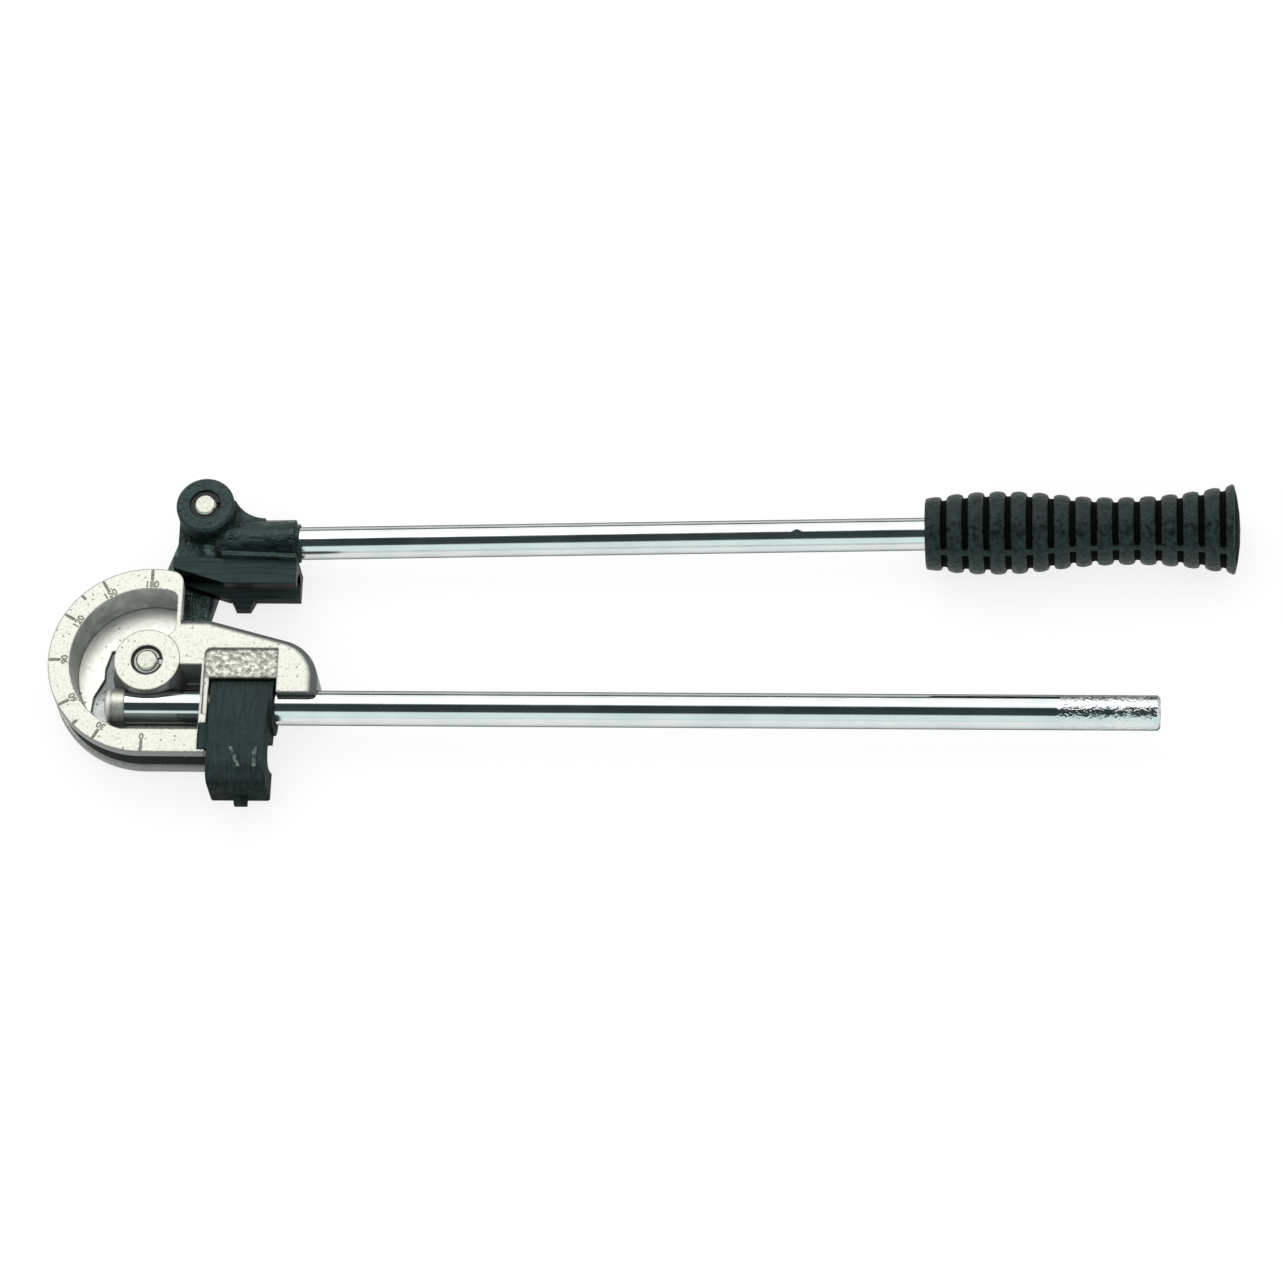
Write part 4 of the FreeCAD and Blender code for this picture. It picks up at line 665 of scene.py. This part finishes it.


# Hook: an iron casting that turns on the fixed handle. The enamel ran down its face in the dip,
# and its two ribs carry a painted grey highlight.
hook_enamel, hook_tree, hook_shader, hook_place, hook_tone = iron_enamel(
    "enamel_on_hook_iron", 0.12, ("#060B0B", "#1B2827"), "#242B2A", (0.0016, 0.014, 0.005), 0.0011)
hook_axes = add_node(hook_tree, "ShaderNodeSeparateXYZ", links={0: hook_place})
rib_foot = 0.0355
rib_raised = add_node(hook_tree, "ShaderNodeMath", {1: rib_foot}, {0: hook_axes.outputs["Z"]},
                      operation="GREATER_THAN")
rib_highlight_patches = add_node(hook_tree, "ShaderNodeTexNoise", {"Scale": 1 / 0.002, "Detail": 2.0},
                       {"Vector": hook_place})
rib_painted_highlight = add_node(hook_tree, "ShaderNodeValToRGB", links={0: rib_highlight_patches.outputs[0]}, stops=[
    (0.38, colour("#2C3937")), (0.64, colour("#74837F"))])
hook_ribs_highlighted = add_node(hook_tree, "ShaderNodeMix", links={
    0: rib_raised.outputs[0], 6: hook_tone.outputs[2], 7: rib_painted_highlight.outputs[0]}, data_type="RGBA")
hook_tree.links.new(hook_ribs_highlighted.outputs[2], hook_shader.inputs["Base Color"])
give_finish(hook_enamel, "tube_hook")


# Slide shoe: acetal plastic, injection moulded, pegged into the foot. Smooth and black, with
# drag lines along the channel.
acetal, acetal_tree, acetal_shader, acetal_place = new_finish("moulded_acetal", {
    "IOR": 1.48, "Specular IOR Level": 0.05, "Specular Tint": colour("#D2F8F1")})
# Drag lines run along the shoe, about 0.8 mm apart.
acetal_stretch = add_node(acetal_tree, "ShaderNodeMapping", {"Scale": (1 / 0.03, 1 / 0.0008, 1 / 0.0008)},
                          {"Vector": acetal_place})
acetal_lines = add_node(acetal_tree, "ShaderNodeTexNoise", {"Scale": 1.0, "Detail": 3.0},
                        {"Vector": acetal_stretch.outputs[0]})
acetal_tone = add_node(acetal_tree, "ShaderNodeValToRGB", links={0: acetal_lines.outputs[0]}, stops=[
    (0.36, colour("#283433")), (0.64, colour("#3A4947"))])
# The faces that look up are painted grey as a painted reflection, and the sides near black as painted shade.
acetal_geometry = add_node(acetal_tree, "ShaderNodeNewGeometry")
acetal_facing = add_node(acetal_tree, "ShaderNodeSeparateXYZ", links={0: acetal_geometry.outputs["Normal"]})
acetal_top_lit = add_node(acetal_tree, "ShaderNodeMapRange", {1: 0.75, 2: 0.95},
                          {0: acetal_facing.outputs["Z"]})
acetal_lit_and_shaded = add_node(acetal_tree, "ShaderNodeMix", {6: colour("#020303")}, {
    0: acetal_top_lit.outputs[0], 7: acetal_tone.outputs[0]}, data_type="RGBA")
acetal_gloss = add_node(acetal_tree, "ShaderNodeMapRange", {1: 0.3, 2: 0.7, 3: 0.22, 4: 0.5},
                        {0: acetal_lines.outputs[0]})
acetal_edges = add_node(acetal_tree, "ShaderNodeBevel", {"Radius": 0.0003}, samples=4)
acetal_bump = add_node(acetal_tree, "ShaderNodeBump", {"Strength": 0.8, "Distance": 0.00035},
                       {"Height": acetal_lines.outputs[0], "Normal": acetal_edges.outputs[0]})
acetal_tree.links.new(acetal_lit_and_shaded.outputs[2], acetal_shader.inputs["Base Color"])
acetal_tree.links.new(acetal_gloss.outputs[0], acetal_shader.inputs["Roughness"])
acetal_tree.links.new(acetal_bump.outputs[0], acetal_shader.inputs["Normal"])
give_finish(acetal, "slide_shoe")


# Lever grip: a moulded rubber sleeve pushed onto the lever tube. It swells behind its smooth
# collar, narrows to a waist and flares; 14 ring grooves stop at a plain rib on either side.
grip_start = 0.3295
grip_length = 0.1405
grip_collar_radius = 0.0163
grip_joint_place = 0.06
grip_joint_radius = 0.0172
grip_flare_radius = 0.0206
swell_arc = 0.195
waist_arc = 0.25
grip_edge = 0.001
grip_crown = 0.0025
bore_radius = 0.0075
bore_end = 0.1365
groove_count = 14
groove_first = 0.0086
groove_pitch = 0.00974
groove_depth = 0.0023
rib_half_angle = math.radians(4.2)
rib_shoulder = math.radians(2.4)
rib_angle = math.radians(144)
grip_segments = 160
lever_turn = math.radians(1.2)
eye_place = Vector((eye_axis[0], eye_axis[1], groove_middle))
lever_offset = 0.0136


def arc_radius(start, end, arc, bulge, place):
    """Radius at a place on an arc between two (along, radius) points, outward when bulge is 1."""
    run = end[0] - start[0]
    rise = end[1] - start[1]
    chord = math.hypot(run, rise)
    depth = math.sqrt(arc ** 2 - chord ** 2 / 4)
    centre_x = (start[0] + end[0]) / 2 + bulge * depth * rise / chord
    centre_r = (start[1] + end[1]) / 2 - bulge * depth * run / chord
    return centre_r + bulge * math.sqrt(arc ** 2 - (place - centre_x) ** 2)


def grip_radius(place):
    """Radius of the grip between its grooves, at a place along it."""
    collar_corner = (grip_edge, grip_collar_radius)
    joint = (grip_joint_place, grip_joint_radius)
    flare_corner = (grip_length - grip_edge, grip_flare_radius)
    if place < grip_joint_place:
        return arc_radius(collar_corner, joint, swell_arc, 1, place)
    return arc_radius(joint, flare_corner, waist_arc, -1, place)


def rib_opening(step):
    """How far a groove is open at a step round the grip: 0 on the ribs and 1 away from them."""
    angle = 2 * math.pi * step / grip_segments
    from_rib = abs((angle - rib_angle + math.pi / 2) % math.pi - math.pi / 2)
    opened = min(max((from_rib - rib_half_angle) / rib_shoulder, 0), 1)
    return opened * opened * (3 - 2 * opened)


# Half of a groove: how far from its middle, and what share of its depth is reached there.
groove_shape = [(0.0, 1.0), (0.0007, 1.0), (0.0010, 0.93), (0.0012, 0.7), (0.0014, 0.47), (0.0017, 0.31),
                (0.0022, 0.21), (0.0030, 0.10), (0.0040, 0.02)]
# The crowned end: shares of the crown's rise and of the flare's radius.
crown_shape = [(0.45, 0.72), (0.85, 0.36)]
corner_drop = grip_edge * 0.3
collar_middle = 0.003
# Stations along the grip: place, radius, share of the groove's depth.
stations = [
    (bore_end, bore_radius, 0),
    (0, bore_radius, 0),
    (0, grip_collar_radius - grip_edge, 0),
    (corner_drop, grip_collar_radius - corner_drop, 0),
    (grip_edge, grip_collar_radius, 0),
    (collar_middle, grip_radius(collar_middle), 0),
]
for index in range(groove_count):
    middle = groove_first + index * groove_pitch
    for offset, share in reversed(groove_shape[1:]):
        stations.append((middle - offset, grip_radius(middle - offset), share))
    for offset, share in groove_shape:
        stations.append((middle + offset, grip_radius(middle + offset), share))
stations += [
    (grip_length - grip_edge, grip_flare_radius, 0),
    (grip_length - corner_drop, grip_flare_radius - corner_drop, 0),
    (grip_length, grip_flare_radius - grip_edge, 0),
]
for rise, reach in crown_shape:
    stations.append((grip_length + grip_crown * rise, grip_flare_radius * reach, 0))
grip_mesh = bmesh.new()
rings = []
for place, radius, share in stations:
    ring = []
    for step in range(grip_segments):
        angle = 2 * math.pi * step / grip_segments
        reach = radius - groove_depth * share * rib_opening(step)
        ring.append(grip_mesh.verts.new((place, reach * math.cos(angle), reach * math.sin(angle))))
    rings.append(ring)
for before, after in zip(rings, rings[1:]):
    for step in range(grip_segments):
        follow = (step + 1) % grip_segments
        grip_mesh.faces.new((before[step], before[follow], after[follow], after[step]))
bore_floor = grip_mesh.verts.new((bore_end, 0, 0))
crown_tip = grip_mesh.verts.new((grip_length + grip_crown, 0, 0))
for step in range(grip_segments):
    follow = (step + 1) % grip_segments
    grip_mesh.faces.new((bore_floor, rings[0][follow], rings[0][step]))
    grip_mesh.faces.new((crown_tip, rings[-1][step], rings[-1][follow]))
grip_mesh.faces.ensure_lookup_table()
bmesh.ops.recalc_face_normals(grip_mesh, faces=grip_mesh.faces)
for face in grip_mesh.faces:
    face.smooth = True
# The floors of the grooves and the crowned end get the near-black rubber, a painted shade.
groove_shade_share = 0.4
for index, (before, after) in enumerate(zip(stations, stations[1:])):
    on_crown = before[0] >= grip_length
    for step in range(grip_segments):
        if on_crown or min(before[2], after[2]) * rib_opening(step + 0.5) > groove_shade_share:
            grip_mesh.faces[index * grip_segments + step].material_index = 1
grip_sleeve = bpy.data.objects.new("grip_sleeve", bpy.data.meshes.new("grip_sleeve"))
grip_mesh.to_mesh(grip_sleeve.data)
grip_mesh.free()
grip_sleeve.data.set_sharp_from_angle(angle=math.radians(50))
lever_origin = eye_place + Vector((math.sin(lever_turn), -math.cos(lever_turn), 0)) * lever_offset
along_lever = Vector((math.cos(lever_turn), math.sin(lever_turn), 0))
grip_sleeve.matrix_world = (
    Matrix.Translation(lever_origin + along_lever * grip_start) @ Matrix.Rotation(lever_turn, 4, "Z"))
bpy.context.scene.collection.objects.link(grip_sleeve)

# Filled rubber: a matt black that greys where it is rubbed, with a soft sheen on each lobe.
rubber, rubber_tree, rubber_shader, rubber_place = new_finish("moulded_rubber", {
    "IOR": 1.52, "Specular IOR Level": 0.3, "Specular Tint": colour("#D8F8F4")})
# Scuffs of about 2 mm, and a moulded grain of 0.5 mm.
rubber_scuff = add_node(rubber_tree, "ShaderNodeTexNoise", {"Scale": 1 / 0.0022, "Detail": 4.0},
                        {"Vector": rubber_place})
rubber_grain = add_node(rubber_tree, "ShaderNodeTexNoise", {"Scale": 1 / 0.0005, "Detail": 2.0},
                        {"Vector": rubber_place})
rubber_tone = add_node(rubber_tree, "ShaderNodeValToRGB", links={0: rubber_scuff.outputs[0]}, stops=[
    (0.36, colour("#050809")), (0.64, colour("#24312F"))])
rubber_gloss = add_node(rubber_tree, "ShaderNodeMapRange", {1: 0.3, 2: 0.7, 3: 0.30, 4: 0.6},
                        {0: rubber_scuff.outputs[0]})
scuff_bump = add_node(rubber_tree, "ShaderNodeBump", {"Strength": 0.9, "Distance": 0.0009},
                      {"Height": rubber_scuff.outputs[0]})
rubber_bump = add_node(rubber_tree, "ShaderNodeBump", {"Strength": 0.35, "Distance": 0.0001},
                       {"Height": rubber_grain.outputs[0], "Normal": scuff_bump.outputs[0]})
rubber_tree.links.new(rubber_tone.outputs[0], rubber_shader.inputs["Base Color"])
rubber_tree.links.new(rubber_gloss.outputs[0], rubber_shader.inputs["Roughness"])
rubber_tree.links.new(rubber_bump.outputs[0], rubber_shader.inputs["Normal"])
# Painted shade for the grooves' floors and the crowned end: a deep black, dull rubber.
groove_shade_rubber, dull_tree, dull_shader, dull_place = new_finish("painted_shade_rubber", {
    "IOR": 1.52, "Specular IOR Level": 0.05})
dull_grain = add_node(dull_tree, "ShaderNodeTexNoise", {"Scale": 1 / 0.0008, "Detail": 2.0},
                      {"Vector": dull_place})
groove_shade_tone = add_node(dull_tree, "ShaderNodeValToRGB", links={0: dull_grain.outputs[0]}, stops=[
    (0.3, colour("#030303")), (0.7, colour("#080A0A"))])
dull_gloss = add_node(dull_tree, "ShaderNodeMapRange", {1: 0.3, 2: 0.7, 3: 0.7, 4: 0.9},
                      {0: dull_grain.outputs[0]})
dull_tree.links.new(groove_shade_tone.outputs[0], dull_shader.inputs["Base Color"])
dull_tree.links.new(dull_gloss.outputs[0], dull_shader.inputs["Roughness"])
grip_sleeve.data.materials.append(rubber)
grip_sleeve.data.materials.append(groove_shade_rubber)
give_finish(rubber, "lever_grip")
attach(grip_sleeve, "lever")
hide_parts("lever_grip")
